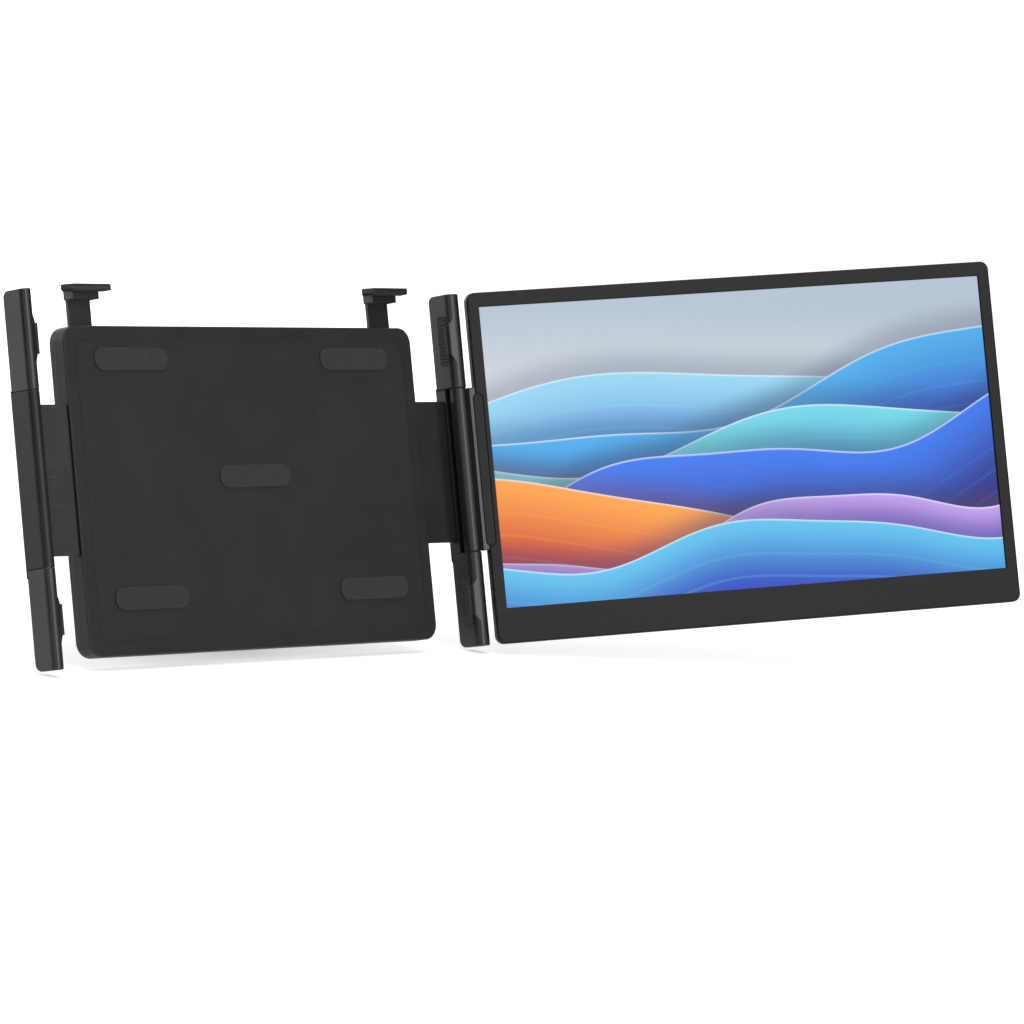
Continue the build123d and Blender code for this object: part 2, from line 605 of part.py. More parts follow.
with BuildPart() as panel_screws:
    with BuildSketch(facing_rear(PANEL_HEAD_Y)):
        with Locations(*PANEL_SCREWS):
            Circle(SCREW_HEAD_R)
    extrude(amount=PANEL_HEAD_T)
    with BuildSketch(facing_rear(PANEL_HEAD_Y)):
        with Locations(*PANEL_SCREWS):
            Circle(SCREW_R - SEAT)
    extrude(amount=-(PANEL_HEAD_Y - PANEL_FRONT - SKIN - SCREW_END))
    with BuildSketch(facing_rear(PANEL_HEAD_Y + PANEL_HEAD_T)):
        with Locations(*PANEL_SCREWS):
            RegularPolygon(PANEL_HEX, 6)
    extrude(amount=-PANEL_HEX_DEPTH, mode=Mode.SUBTRACT)

with BuildPart() as arm_guides:
    for side in (-1, 1):
        block(
            (-PANEL_HALF_W + RIM + SEAT, PANEL_HALF_W - RIM - SEAT),
            (PANEL_FRONT + SKIN, RETAINER_FRONT),
            across(ARM_HALF + RUN, ARM_HALF + RUN + GUIDE_H, side),
        )

with BuildPart() as arm_retainer:
    block(
        (-RETAINER_HALF_W, RETAINER_HALF_W),
        (RETAINER_FRONT, RETAINER_BACK),
        (-RETAINER_HALF_H, RETAINER_HALF_H),
    )
    with BuildSketch(facing_rear(RETAINER_BACK)):
        with Locations((-BRAKE_X, 0), (BRAKE_X, 0)):
            Rectangle(BRAKE_W, BRAKE_H)
        with Locations(*POSTS):
            Circle(CASE_SCREW_R + SEAT)
    extrude(amount=-RETAINER_T, mode=Mode.SUBTRACT)

with BuildPart() as retainer_screws:
    with BuildSketch(facing_rear(RETAINER_BACK)):
        with Locations(*POSTS):
            Circle(CASE_SCREW_HEAD_R)
    extrude(amount=RETAINER_HEAD_T)
    with BuildSketch(facing_rear(RETAINER_BACK)):
        with Locations(*POSTS):
            Circle(CASE_SCREW_R - SEAT)
    extrude(amount=-(RETAINER_T + ARM_T - SCREW_END))

with BuildPart() as slide_brakes:
    for side in (-1, 1):
        block(
            across(BRAKE_X - BRAKE_W / 2 + SEAT, BRAKE_X + BRAKE_W / 2 - SEAT, side),
            (ARM_BACK + BRAKE_GAP, RETAINER_BACK),
            (-BRAKE_H / 2 + SEAT, BRAKE_H / 2 - SEAT),
        )

with BuildPart() as brake_springs:
    for side in (-1, 1):
        block(
            across(BRAKE_X - BRAKE_W / 2 + SPRING_IN, BRAKE_X + BRAKE_W / 2 - SPRING_IN, side),
            (RETAINER_BACK, RETAINER_BACK + SPRING_T),
            (-BRAKE_H / 2 - SPRING_OVER, BRAKE_H / 2 + SPRING_OVER),
        )

with BuildPart() as clip_channels:
    for side in (-1, 1):
        half = TONGUE_HALF + RUN
        block(
            across(CLIP_X - half - CHANNEL_T, CLIP_X + half + CHANNEL_T, side),
            (RETAINER_BACK, TONGUE_BACK + RUN + CHANNEL_T),
            (CHANNEL_LOW, PANEL_TOP - RIM),
        )
        block(
            across(CLIP_X - half, CLIP_X + half, side),
            (RETAINER_BACK, TONGUE_BACK + RUN),
            (CHANNEL_LOW, PANEL_TOP - RIM),
            mode=Mode.SUBTRACT,
        )


# ---- top clips ---------------------------------------------------------------------------------------
def clip_hook(side):
    """A slider with a head block and a hook with cut front corners."""
    x = side * CLIP_X
    cut = CLIP_HALF - CLIP_FRONT_HALF
    with BuildPart() as hook:
        block((x - TONGUE_HALF, x + TONGUE_HALF), (TONGUE_FRONT, TONGUE_BACK), (TONGUE_LOW, CLIP_HEAD_LOW))
        head = (x - CLIP_REAR_HALF, x + CLIP_REAR_HALF)
        block(head, (CLIP_HEAD_FRONT, TONGUE_BACK), (CLIP_HEAD_LOW, CLIP_PLATE_LOW))
        fillet(hook.edges().filter_by(Axis.Z).group_by(Axis.Y)[-1].sort_by(Axis.Z)[-2:], CLIP_HEAD_ROUND)
        with BuildSketch(Plane.XY.offset(CLIP_PLATE_LOW)):
            with BuildLine():
                Polyline(
                    (x - CLIP_FRONT_HALF, CLIP_FRONT),
                    (x + CLIP_FRONT_HALF, CLIP_FRONT),
                    (x + CLIP_HALF, CLIP_FRONT + cut),
                    (x + CLIP_HALF, CLIP_FRONT + cut + CLIP_SIDE),
                    (x + CLIP_REAR_HALF, TONGUE_BACK),
                    (x - CLIP_REAR_HALF, TONGUE_BACK),
                    (x - CLIP_HALF, CLIP_FRONT + cut + CLIP_SIDE),
                    (x - CLIP_HALF, CLIP_FRONT + cut),
                    close=True,
                )
            make_face()
        extrude(amount=CLIP_PLATE_T)
        fillet(hook.faces().sort_by(Axis.Z)[-1].edges(), CLIP_ROUND)
        lower = hook.edges().filter_by_position(Axis.Z, CLIP_PLATE_LOW - 0.01, CLIP_PLATE_LOW + 0.01)
        chamfer(lower.filter_by(Axis.X).sort_by(Axis.Y)[0], CLIP_UNDERCUT)
        # fine groove round the front under the upper layer
        groove = (CLIP_PLATE_TOP - CLIP_TOP_T - CLIP_GROOVE, CLIP_PLATE_TOP - CLIP_TOP_T)
        front = (CLIP_FRONT, CLIP_FRONT + CLIP_GROOVE)
        block((x - CLIP_FRONT_HALF, x + CLIP_FRONT_HALF), front, groove, mode=Mode.SUBTRACT)
    return hook


def clip_pad(side):
    """The rubber under a hook, on top of the lid."""
    x = side * CLIP_X
    with BuildPart() as pad:
        limits = (x - CLIP_FRONT_HALF + SEAT, x + CLIP_FRONT_HALF - SEAT)
        block(limits, (CLIP_PAD_FRONT, CLIP_HEAD_FRONT - SEAT), (CLIP_PAD_LOW, CLIP_PLATE_LOW))
    return pad


# ---- rear leg ----------------------------------------------------------------------------------------
with BuildPart() as leg:
    low = LEG_PIVOT_Z - LEG_LENGTH + LEG_FOOT
    block((-LEG_HALF_W, LEG_HALF_W), (LEG_FRONT, PANEL_REAR), (low, LEG_PIVOT_Z))
    with Locations(Location((0, LEG_PIVOT_Y, LEG_PIVOT_Z), (0, 90, 0))):
        Cylinder(LEG_T / 2, 2 * LEG_HALF_W)
    # shallow panel in the rear face
    with BuildSketch(facing_rear(PANEL_REAR)):
        with Locations((0, LEG_PIVOT_Z - (LEG_LENGTH + LEG_PANEL_TOP - LEG_PANEL_LOW) / 2)):
            panel_w = 2 * (LEG_HALF_W - LEG_PANEL_SIDE)
            RectangleRounded(panel_w, LEG_LENGTH - LEG_PANEL_TOP - LEG_PANEL_LOW, LEG_PANEL_R)
    extrude(amount=-LEG_PANEL_DEPTH, mode=Mode.SUBTRACT)
    with Locations(Location((0, LEG_PIVOT_Y, LEG_PIVOT_Z), (0, 90, 0))):
        Cylinder(LEG_PIN_R + SHAFT_FIT, 2 * LEG_HALF_W, mode=Mode.SUBTRACT)
    chamfer(leg.edges().filter_by(Axis.X).group_by(Axis.Z)[0].sort_by(Axis.Y)[0], LEG_END_BEVEL)

with BuildPart() as leg_foot:
    foot_low = LEG_PIVOT_Z - LEG_LENGTH
    with BuildSketch(facing_rear(PANEL_REAR)):
        with Locations((0, foot_low + LEG_FOOT / 2)):
            Rectangle(2 * LEG_HALF_W, LEG_FOOT)
    extrude(amount=-LEG_T)
    fillet(leg_foot.edges().filter_by(Axis.Y).group_by(Axis.Z)[0], LEG_FOOT - FOOT_CORNER_IN)
    fillet(leg_foot.edges().filter_by(Axis.X).group_by(Axis.Z)[0], FOOT_ROUND)

with BuildPart() as leg_pin:
    with Locations(Location((0, LEG_PIVOT_Y, LEG_PIVOT_Z), (0, 90, 0))):
        Cylinder(LEG_PIN_R, 2 * (LEG_HALF_W + LEG_PIN_OUT))

# ---- screen hinge ------------------------------------------------------------------------------------
with BuildPart() as hinge_knuckle:
    with BuildSketch(Plane.XY.offset(-KNUCKLE_HALF)) as knuckle_outline:
        with Locations((HINGE_X, AXIS_Y)):
            Circle(RIGHT_BAR_R)
        with Locations((HINGE_X + LEAF_U / 2, AXIS_Y + (WEB_REAR - WEB_FRONT) / 2)):
            Rectangle(LEAF_U, WEB_FRONT + WEB_REAR)
        with Locations((HINGE_X + (LEAF_U + SCREEN_EDGE - LAYER) / 2, (FACE_Y + BACK_Y) / 2)):
            Rectangle(SCREEN_EDGE - LAYER - LEAF_U, SCREEN_T)
    extrude(amount=2 * KNUCKLE_HALF)
    leaf_edges = hinge_knuckle.edges().filter_by(Axis.Z).filter_by_position(
        Axis.X, HINGE_X + LEAF_U - 0.01, HINGE_X + LEAF_U + 0.01
    )
    fillet([leaf_edges.sort_by(Axis.Y)[0], leaf_edges.sort_by(Axis.Y)[-1]], LEAF_ROUND)
    block(
        (HINGE_X + SCREEN_EDGE - LAYER, HINGE_X + FLAP_END),
        (AXIS_Y - FLAP_FRONT, AXIS_Y + FLAP_REAR),
        (-FLAP_HALF, FLAP_HALF),
    )
    with BuildSketch(facing_front(COVER_Y)):
        with Locations((HINGE_X + COVER_U, COVER_Z)):
            SlotOverall(COVER_LONG, COVER_W, rotation=90)
    extrude(amount=-COVER_T, mode=Mode.SUBTRACT)
    with Locations((HINGE_X, AXIS_Y, 0)):
        Cylinder(PIN_R + GAP, 2 * KNUCKLE_HALF, mode=Mode.SUBTRACT)
    with Locations(*BUSH_PLACES):
        Cylinder(BUSH_R + PIN_SEAT, BUSH_L, mode=Mode.SUBTRACT)
    with Locations(facing_front(AXIS_Y - FLAP_FRONT)):
        with Locations(*[(HINGE_X + FLAP_SCREW_U, z) for z in FLAP_SCREW_Z]):
            Hole(CASE_SCREW_R + SEAT, depth=FLAP_FRONT + FLAP_REAR)

with BuildPart() as hinge_bushes:
    with Locations(*BUSH_PLACES):
        Cylinder(BUSH_R, BUSH_L)
        Cylinder(PIN_R + SHAFT_FIT, BUSH_L, mode=Mode.SUBTRACT)

with BuildPart() as hinge_washers:
    with Locations((HINGE_X, AXIS_Y, -MID_HALF + WASHER_T / 2), (HINGE_X, AXIS_Y, MID_HALF - WASHER_T / 2)):
        Cylinder(RIGHT_BAR_R - WASHER_IN, WASHER_T)
        Cylinder(PIN_R + PIN_SEAT, WASHER_T, mode=Mode.SUBTRACT)

with BuildPart() as hinge_cover:
    with BuildSketch(facing_front(COVER_Y + COVER_T)):
        with Locations((HINGE_X + COVER_U, COVER_Z)):
            SlotOverall(COVER_LONG - 2 * COVER_GROOVE, COVER_W - 2 * COVER_GROOVE, rotation=90)
    extrude(amount=COVER_T)
    fillet(hinge_cover.faces().sort_by(Axis.Y)[0].edges(), COVER_ROUND)

with BuildPart() as flap_screws:
    with BuildSketch(facing_front(AXIS_Y - FLAP_FRONT)):
        with Locations(*[(HINGE_X + FLAP_SCREW_U, z) for z in FLAP_SCREW_Z]):
            Circle(FLAP_HEAD_R)
    extrude(amount=FLAP_HEAD_T)
    with BuildSketch(facing_front(AXIS_Y - FLAP_FRONT)):
        with Locations(*[(HINGE_X + FLAP_SCREW_U, z) for z in FLAP_SCREW_Z]):
            Circle(CASE_SCREW_R)
    extrude(amount=-(FLAP_FRONT + FLAP_REAR + FLAP_SCREW_IN))

# ---- screen casing -----------------------------------------------------------------------------------
FLAP_WINDOW = ((SCREEN_LEFT, SCREEN_LEFT + WALL), (AXIS_Y - FLAP_FRONT - LAYER, AXIS_Y + FLAP_REAR + LAYER))

with BuildPart() as front_bezel:
    with BuildSketch(facing_front(FACE_Y)):
        with Locations((SCREEN_MID, 0)):
            RectangleRounded(SCREEN_W, 2 * SCREEN_HALF_H, SCREEN_CORNER)
    extrude(amount=-BEZEL_DEPTH)
    fillet(front_bezel.faces().sort_by(Axis.Y)[0].edges(), SCREEN_ROUND)
    with BuildSketch(facing_front(FACE_Y + FACE_T)):
        with Locations((SCREEN_MID, 0)):
            RectangleRounded(SCREEN_W - 2 * WALL, 2 * (SCREEN_HALF_H - WALL), SCREEN_CORNER - WALL)
    extrude(amount=-(BEZEL_DEPTH - FACE_T), mode=Mode.SUBTRACT)
    with BuildSketch(facing_front(FACE_Y)):
        with Locations((SCREEN_LEFT + BEZEL_SIDE + ACTIVE_W / 2, ACTIVE_MID_Z)):
            Rectangle(ACTIVE_W, ACTIVE_H)
        with Locations((HINGE_X + COVER_U, COVER_Z)):
            SlotOverall(COVER_LONG, COVER_W, rotation=90)
    extrude(amount=-FACE_T, mode=Mode.SUBTRACT)
    block(*FLAP_WINDOW, (-FLAP_HALF - LAYER, FLAP_HALF + LAYER), mode=Mode.SUBTRACT)
    with BuildSketch(facing_front(FACE_Y + FACE_T)):
        with Locations(*CASE_SCREWS):
            Circle(CASE_BOSS_R)
    extrude(amount=-(BEZEL_DEPTH - FACE_T))
    with Locations(facing_rear(SEAM_Y)):
        with Locations(*[(-x, z) for x, z in CASE_SCREWS]):
            Hole(CASE_SCREW_R - SEAT, depth=BEZEL_DEPTH - FACE_T)

with BuildPart() as rear_cover:
    with BuildSketch(facing_front(SEAM_Y)):
        with Locations((SCREEN_MID, 0)):
            RectangleRounded(SCREEN_W, 2 * SCREEN_HALF_H, SCREEN_CORNER)
    extrude(amount=-(BACK_Y - SEAM_Y))
    fillet(rear_cover.faces().sort_by(Axis.Y)[-1].edges(), REAR_ROUND)
    with BuildSketch(facing_front(SEAM_Y)):
        with Locations((SCREEN_MID, 0)):
            RectangleRounded(SCREEN_W - 2 * WALL, 2 * (SCREEN_HALF_H - WALL), SCREEN_CORNER - WALL)
    extrude(amount=-(REAR_INNER - SEAM_Y), mode=Mode.SUBTRACT)
    block(*FLAP_WINDOW, (-FLAP_HALF - LAYER, FLAP_HALF + LAYER), mode=Mode.SUBTRACT)
    # bosses for the case screws, the flap's screws and the main board
    with BuildSketch(facing_front(SEAM_Y)):
        with Locations(*CASE_SCREWS):
            Circle(CASE_BOSS_R)
    extrude(amount=-(REAR_INNER - SEAM_Y))
    with BuildSketch(facing_front(AXIS_Y + FLAP_REAR)):
        with Locations(*[(HINGE_X + FLAP_SCREW_U, z) for z in FLAP_SCREW_Z]):
            Circle(CASE_BOSS_R)
    extrude(amount=-(REAR_INNER - AXIS_Y - FLAP_REAR))
    with BuildSketch(facing_front(BOARD_BACK)):
        with Locations((BOARD_RIGHT - BOARD_W / 2, BOARD_Z)):
            with GridLocations(BOARD_W - 2 * BOARD_HOLE_IN, BOARD_H - 2 * BOARD_HOLE_IN, 2, 2):
                Circle(STANDOFF_R)
    extrude(amount=-BOARD_STANDOFF)
    with Locations(facing_rear(BACK_Y)):
        with Locations(*[(-x, z) for x, z in CASE_SCREWS]):
            head_r = CASE_SCREW_HEAD_R + SEAT
            CounterBoreHole(CASE_SCREW_R + SEAT, head_r, CASE_SCREW_SINK, depth=BACK_Y - SEAM_Y)
    with Locations(facing_front(AXIS_Y + FLAP_REAR)):
        with Locations(*[(HINGE_X + FLAP_SCREW_U, z) for z in FLAP_SCREW_Z]):
            Hole(CASE_SCREW_R + SEAT, depth=FLAP_SCREW_IN)
    # openings for sockets and buttons in the right-hand wall
    with BuildSketch(facing_right(CASE_RIGHT)):
        with Locations(*[(BUTTON_Y, z) for z in USB_Z]):
            SlotOverall(USB_W + 2 * PORT_GAP, PORT_T + 2 * PORT_GAP, rotation=90)
        with Locations((BUTTON_Y, HDMI_Z)):
            Rectangle(PORT_T + 2 * PORT_GAP, HDMI_W + 2 * PORT_GAP)
        with Locations(*[(BUTTON_Y, z) for z in BUTTON_Z]):
            SlotOverall(BUTTON_LONG + 2 * RUN, BUTTON_W + 2 * RUN, rotation=90)
    extrude(amount=WALL, mode=Mode.SUBTRACT)

with BuildPart() as case_screws:
    with BuildSketch(facing_rear(CASE_HEAD_Y)):
        with Locations(*[(-x, z) for x, z in CASE_SCREWS]):
            Circle(CASE_SCREW_HEAD_R)
    extrude(amount=CASE_HEAD_T)
    with BuildSketch(facing_rear(CASE_HEAD_Y)):
        with Locations(*[(-x, z) for x, z in CASE_SCREWS]):
            Circle(CASE_SCREW_R - 2 * SEAT)
    extrude(amount=-(CASE_HEAD_Y - SEAM_Y + CASE_SCREW_IN))

# ---- display and electronics -------------------------------------------------------------------------
with BuildPart() as lcd_glass:
    with BuildSketch(facing_front(GLASS_FRONT)):
        with Locations((SCREEN_LEFT + BEZEL_SIDE + ACTIVE_W / 2, ACTIVE_MID_Z)):
            Rectangle(ACTIVE_W + 2 * LCD_BORDER, ACTIVE_H + 2 * LCD_BORDER)
    extrude(amount=-GLASS_T)

with BuildPart() as backlight:
    with BuildSketch(facing_front(GLASS_BACK)):
        with Locations((SCREEN_LEFT + BEZEL_SIDE + ACTIVE_W / 2, ACTIVE_MID_Z)):
            Rectangle(ACTIVE_W + 2 * LCD_BORDER, ACTIVE_H + 2 * LCD_BORDER)
    extrude(amount=-BACKLIGHT_T)

with BuildPart() as main_board:
    board_y = (BOARD_FRONT, BOARD_BACK)
    block((BOARD_RIGHT - BOARD_W, BOARD_RIGHT), board_y, (BOARD_Z - BOARD_H / 2, BOARD_Z + BOARD_H / 2))
    for height, width, depth in [(z, USB_W, USB_DEPTH) for z in USB_Z] + [(HDMI_Z, HDMI_W, HDMI_DEPTH)]:
        half = width / 2 + PORT_GAP
        notch = (SOCKET_MOUTH - depth - PORT_GAP, BOARD_RIGHT)
        block(notch, board_y, (height - half, height + half), mode=Mode.SUBTRACT)

with BuildPart() as board_chips:
    for from_right, above, width, tall in CHIPS:
        with BuildSketch(facing_front(BOARD_FRONT)):
            with Locations((BOARD_RIGHT - from_right, BOARD_Z + above)):
                Rectangle(width, tall)
        extrude(amount=CHIP_T)

with BuildPart() as usb_c_ports:
    for height in USB_Z:
        with BuildSketch(facing_right(SOCKET_MOUTH)):
            with Locations((BUTTON_Y, height)):
                SlotOverall(USB_W, PORT_T, rotation=90)
        extrude(amount=-USB_DEPTH)
        with BuildSketch(facing_right(SOCKET_MOUTH)):
            with Locations((BUTTON_Y, height)):
                SlotOverall(USB_W - 2 * SOCKET_WALL, PORT_T - 2 * SOCKET_WALL, rotation=90)
                Rectangle(SOCKET_TONGUE, USB_W - 2 * (SOCKET_WALL + USB_TONGUE_SIDE), mode=Mode.SUBTRACT)
        extrude(amount=-(USB_DEPTH - SOCKET_FLOOR), mode=Mode.SUBTRACT)

with BuildPart() as mini_hdmi_port:
    with BuildSketch(facing_right(SOCKET_MOUTH)):
        with Locations((BUTTON_Y, HDMI_Z)):
            Rectangle(PORT_T, HDMI_W)
    extrude(amount=-HDMI_DEPTH)
    with BuildSketch(facing_right(SOCKET_MOUTH)):
        with Locations((BUTTON_Y, HDMI_Z)):
            Rectangle(PORT_T - 2 * SOCKET_WALL, HDMI_W - 2 * SOCKET_WALL)
            Rectangle(SOCKET_TONGUE, HDMI_W - 2 * (SOCKET_WALL + HDMI_TONGUE_SIDE), mode=Mode.SUBTRACT)
    extrude(amount=-(HDMI_DEPTH - SOCKET_FLOOR), mode=Mode.SUBTRACT)

FLANGE_IN = CASE_RIGHT - RUN / 2 - BUTTON_FLANGE
SWITCH_RIGHT = FLANGE_IN - BUTTON_TRAVEL - RUN / 2


def button(height):
    """A key with an inner flange behind the wall."""
    with BuildPart() as key:
        with BuildSketch(facing_right(FLANGE_IN)):
            with Locations((BUTTON_Y, height)):
                over = 2 * BUTTON_FLANGE_OVER
                SlotOverall(BUTTON_LONG + over, PORT_T, rotation=90)
        extrude(amount=BUTTON_FLANGE)
        with BuildSketch(facing_right(FLANGE_IN)):
            with Locations((BUTTON_Y, height)):
                SlotOverall(BUTTON_LONG, BUTTON_W, rotation=90)
        extrude(amount=SCREEN_RIGHT + BUTTON_PROUD - FLANGE_IN)
        fillet(key.faces().sort_by(Axis.X)[-1].edges(), BUTTON_ROUND)
    return key


with BuildPart() as key_switches:
    for height in BUTTON_Z:
        block(
            (SWITCH_RIGHT - SWITCH_DEPTH, SWITCH_RIGHT),
            (PORT_FRONT + RUN, PORT_BACK),
            (height - SWITCH_LONG / 2, height + SWITCH_LONG / 2),
        )

with BuildPart() as key_board:
    block(
        (SWITCH_RIGHT - SWITCH_DEPTH - KEY_BOARD_T, SWITCH_RIGHT - SWITCH_DEPTH),
        (PORT_FRONT + RUN, PORT_BACK),
        (BUTTON_Z[0] - KEY_BOARD_EXTRA, BUTTON_Z[-1] + KEY_BOARD_EXTRA),
    )

# ---- put each piece in its place and write it --------------------------------------------------------
pieces = {
    LEANED: {
        "panel_front_shell": panel_front_shell,
        "panel_rear_shell": panel_rear_shell,
        "lid_strips": lid_strips,
        "panel_screws": panel_screws,
        "arm_guides": arm_guides,
        "arm_retainer": arm_retainer,
        "retainer_screws": retainer_screws,
        "slide_brakes": slide_brakes,
        "brake_springs": brake_springs,
        "clip_channels": clip_channels,
        "leg_pin": leg_pin,
        "right_bar": side_bar(1, RIGHT_BAR_R),
        "right_arm": arm(1),
        "right_arm_screws": arm_screws(1),
        "right_grip_pads": grip_pads(1),
        "hinge_pin": bar_pin(1, RIGHT_BAR_R),
        "hinge_washers": hinge_washers,
        "left_clip_hook": clip_hook(-1),
        "left_clip_pad": clip_pad(-1),
        "right_clip_hook": clip_hook(1),
        "right_clip_pad": clip_pad(1),
    },
    PULLED: {
        "left_bar": side_bar(-1, LEFT_BAR_R),
        "left_bar_cover": middle_cover(-1, LEFT_BAR_R),
        "left_bar_pin": bar_pin(-1, LEFT_BAR_R),
        "left_arm": arm(-1),
        "left_arm_screws": arm_screws(-1),
        "left_grip_pads": grip_pads(-1),
    },
    OPENED: {
        "leg": leg,
        "leg_foot": leg_foot,
    },
    SWUNG: {
        "hinge_knuckle": hinge_knuckle,
        "hinge_bushes": hinge_bushes,
        "hinge_cover": hinge_cover,
        "flap_screws": flap_screws,
        "front_bezel": front_bezel,
        "rear_cover": rear_cover,
        "case_screws": case_screws,
        "lcd_glass": lcd_glass,
        "backlight": backlight,
        "main_board": main_board,
        "board_chips": board_chips,
        "usb_c_ports": usb_c_ports,
        "mini_hdmi_port": mini_hdmi_port,
        "key_switches": key_switches,
        "key_board": key_board,
        "power_button": button(BUTTON_Z[2]),
        "plus_button": button(BUTTON_Z[1]),
        "minus_button": button(BUTTON_Z[0]),
    },
}

os.makedirs("parts", exist_ok=True)
for place, group in pieces.items():
    for name, piece in group.items():
        piece.part = place * piece.part
        piece.part.label = name
        export_step(piece.part, f"parts/{name}.step")
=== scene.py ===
"""Looks of a laptop screen extender: a leaning bracket with side bars and a hinged second screen.

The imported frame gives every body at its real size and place. This script gives each one its finish,
adds the small shapes that the solids leave plain, and sets up a pale studio with a camera.
"""

from __future__ import annotations

import json
import logging
import math
from dataclasses import dataclass
from enum import Enum
from typing import Iterable, Optional, Sequence, Union

import bmesh
import bpy
import numpy as np
from mathutils import Matrix, Vector


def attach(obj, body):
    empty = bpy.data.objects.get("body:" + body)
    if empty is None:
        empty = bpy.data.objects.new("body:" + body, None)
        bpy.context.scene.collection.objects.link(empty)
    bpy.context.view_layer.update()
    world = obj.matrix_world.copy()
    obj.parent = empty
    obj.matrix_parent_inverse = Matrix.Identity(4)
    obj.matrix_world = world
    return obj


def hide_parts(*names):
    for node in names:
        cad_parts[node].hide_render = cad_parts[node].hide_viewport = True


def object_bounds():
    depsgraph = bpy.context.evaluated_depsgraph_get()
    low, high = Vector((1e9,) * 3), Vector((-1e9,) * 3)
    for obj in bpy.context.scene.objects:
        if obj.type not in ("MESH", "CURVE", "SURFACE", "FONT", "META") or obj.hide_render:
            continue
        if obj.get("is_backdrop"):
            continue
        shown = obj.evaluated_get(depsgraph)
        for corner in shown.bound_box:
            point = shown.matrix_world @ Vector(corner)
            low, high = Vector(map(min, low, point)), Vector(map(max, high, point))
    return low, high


LOG = logging.getLogger("screen_extender")
MM = 0.001
Colour = tuple[float, float, float]
Corner = tuple[float, float]
Value = Union[int, float, "Signal"]
BLACK: Colour = (0.002, 0.002, 0.002)
WHITE: Colour = (1.0, 1.0, 1.0)
SMOOTH_BELOW = math.radians(35)  # edges sharper than this stay sharp
POINTS_PER_RIB = 8
MIX_FACTOR, MIX_FIRST, MIX_SECOND, MIX_RESULT = 0, 6, 7, 2  # sockets of a Mix node for colours
CLOUD_FADE = (0.3, 0.7)  # the part of a noise's range that colour variation uses

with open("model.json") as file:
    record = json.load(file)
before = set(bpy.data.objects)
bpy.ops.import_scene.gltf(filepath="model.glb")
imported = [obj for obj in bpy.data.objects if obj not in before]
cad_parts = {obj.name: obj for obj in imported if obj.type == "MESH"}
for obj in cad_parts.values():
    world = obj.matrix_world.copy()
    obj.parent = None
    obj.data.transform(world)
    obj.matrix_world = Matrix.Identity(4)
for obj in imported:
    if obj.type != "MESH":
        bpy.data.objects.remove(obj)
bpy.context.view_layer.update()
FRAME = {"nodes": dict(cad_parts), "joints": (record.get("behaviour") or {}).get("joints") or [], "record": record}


def screen_colour(red: int, green: int, blue: int) -> Colour:
    """Linear colour of a screen colour, by the sRGB curve.

    Args:
        red: from 0 to 255.
        green: from 0 to 255.
        blue: from 0 to 255.

    Returns:
        The three values from 0 to 1.
    """
    parts = (c / 255 for c in (red, green, blue))
    return tuple(c / 12.92 if c <= 0.04045 else ((c + 0.055) / 1.055) ** 2.4 for c in parts)


def scaled(colour: Colour, factor: float) -> Colour:
    """A colour times a number."""
    return tuple(c * factor for c in colour)


# ---- Shader maths ----


class Signal:
    """A node socket that carries a number. Python's operators on it add Math nodes."""

    def __init__(self, graph: Graph, socket: bpy.types.NodeSocket) -> None:
        """Keeps the graph and its output socket."""
        self.graph = graph
        self.socket = socket

    def _with(self, operation: str, *values: Value) -> Signal:
        """One Math node, by Blender's name of the operation, on these values."""
        settings = {"operation": operation}
        return self.graph.node("ShaderNodeMath", settings, dict(enumerate(values)))

    def __add__(self, other: Value) -> Signal:
        """self + other."""
        return self._with("ADD", self, other)

    def __radd__(self, other: Value) -> Signal:
        """other + self."""
        return self._with("ADD", other, self)

    def __sub__(self, other: Value) -> Signal:
        """self - other."""
        return self._with("SUBTRACT", self, other)

    def __rsub__(self, other: Value) -> Signal:
        """other - self."""
        return self._with("SUBTRACT", other, self)

    def __mul__(self, other: Value) -> Signal:
        """self * other."""
        return self._with("MULTIPLY", self, other)

    def __rmul__(self, other: Value) -> Signal:
        """other * self."""
        return self._with("MULTIPLY", other, self)

    def __truediv__(self, other: Value) -> Signal:
        """self / other."""
        return self._with("DIVIDE", self, other)

    def __pow__(self, power: Value) -> Signal:
        """self to a power."""
        return self._with("POWER", self, power)

    def __neg__(self) -> Signal:
        """Minus self."""
        return self._with("MULTIPLY", self, -1.0)

    def __abs__(self) -> Signal:
        """Absolute value."""
        return self._with("ABSOLUTE", self)

    def sine(self) -> Signal:
        """Sine of self in radians."""
        return self._with("SINE", self)

    def root(self) -> Signal:
        """Square root."""
        return self._with("SQRT", self)

    def least(self, other: Value) -> Signal:
        """The smaller of two values."""
        return self._with("MINIMUM", self, other)

    def most(self, other: Value) -> Signal:
        """The larger of two values."""
        return self._with("MAXIMUM", self, other)

    def repeat(self, length: float) -> Signal:
        """Distance from the nearest whole multiple of a length, from 0 to half of it."""
        return self._with("PINGPONG", self, length / 2)

    def sway(self, amount: float) -> Signal:
        """A pattern about 0.5 as a change about 0, times an amount."""
        return (self - 0.5) * amount

    def fade(self, start: float, end: float) -> Signal:
        """Smooth step.

        Args:
            start: the value where the result is 0.
            end: the value where the result is 1; it may be below start.

        Returns:
            A value from 0 to 1.
        """
        low, high, first, last = (start, end, 0.0, 1.0) if start < end else (end, start, 1.0, 0.0)
        settings = {"interpolation_type": "SMOOTHSTEP"}
        ends = {"From Min": low, "From Max": high, "To Min": first, "To Max": last}
        return self.graph.node("ShaderNodeMapRange", settings, {"Value": self, **ends})

    def stroke(self, half: float, soft: float) -> Signal:
        """1 where self is within half of 0, with a soft edge just inside that."""
        return abs(self).fade(half, half - soft)


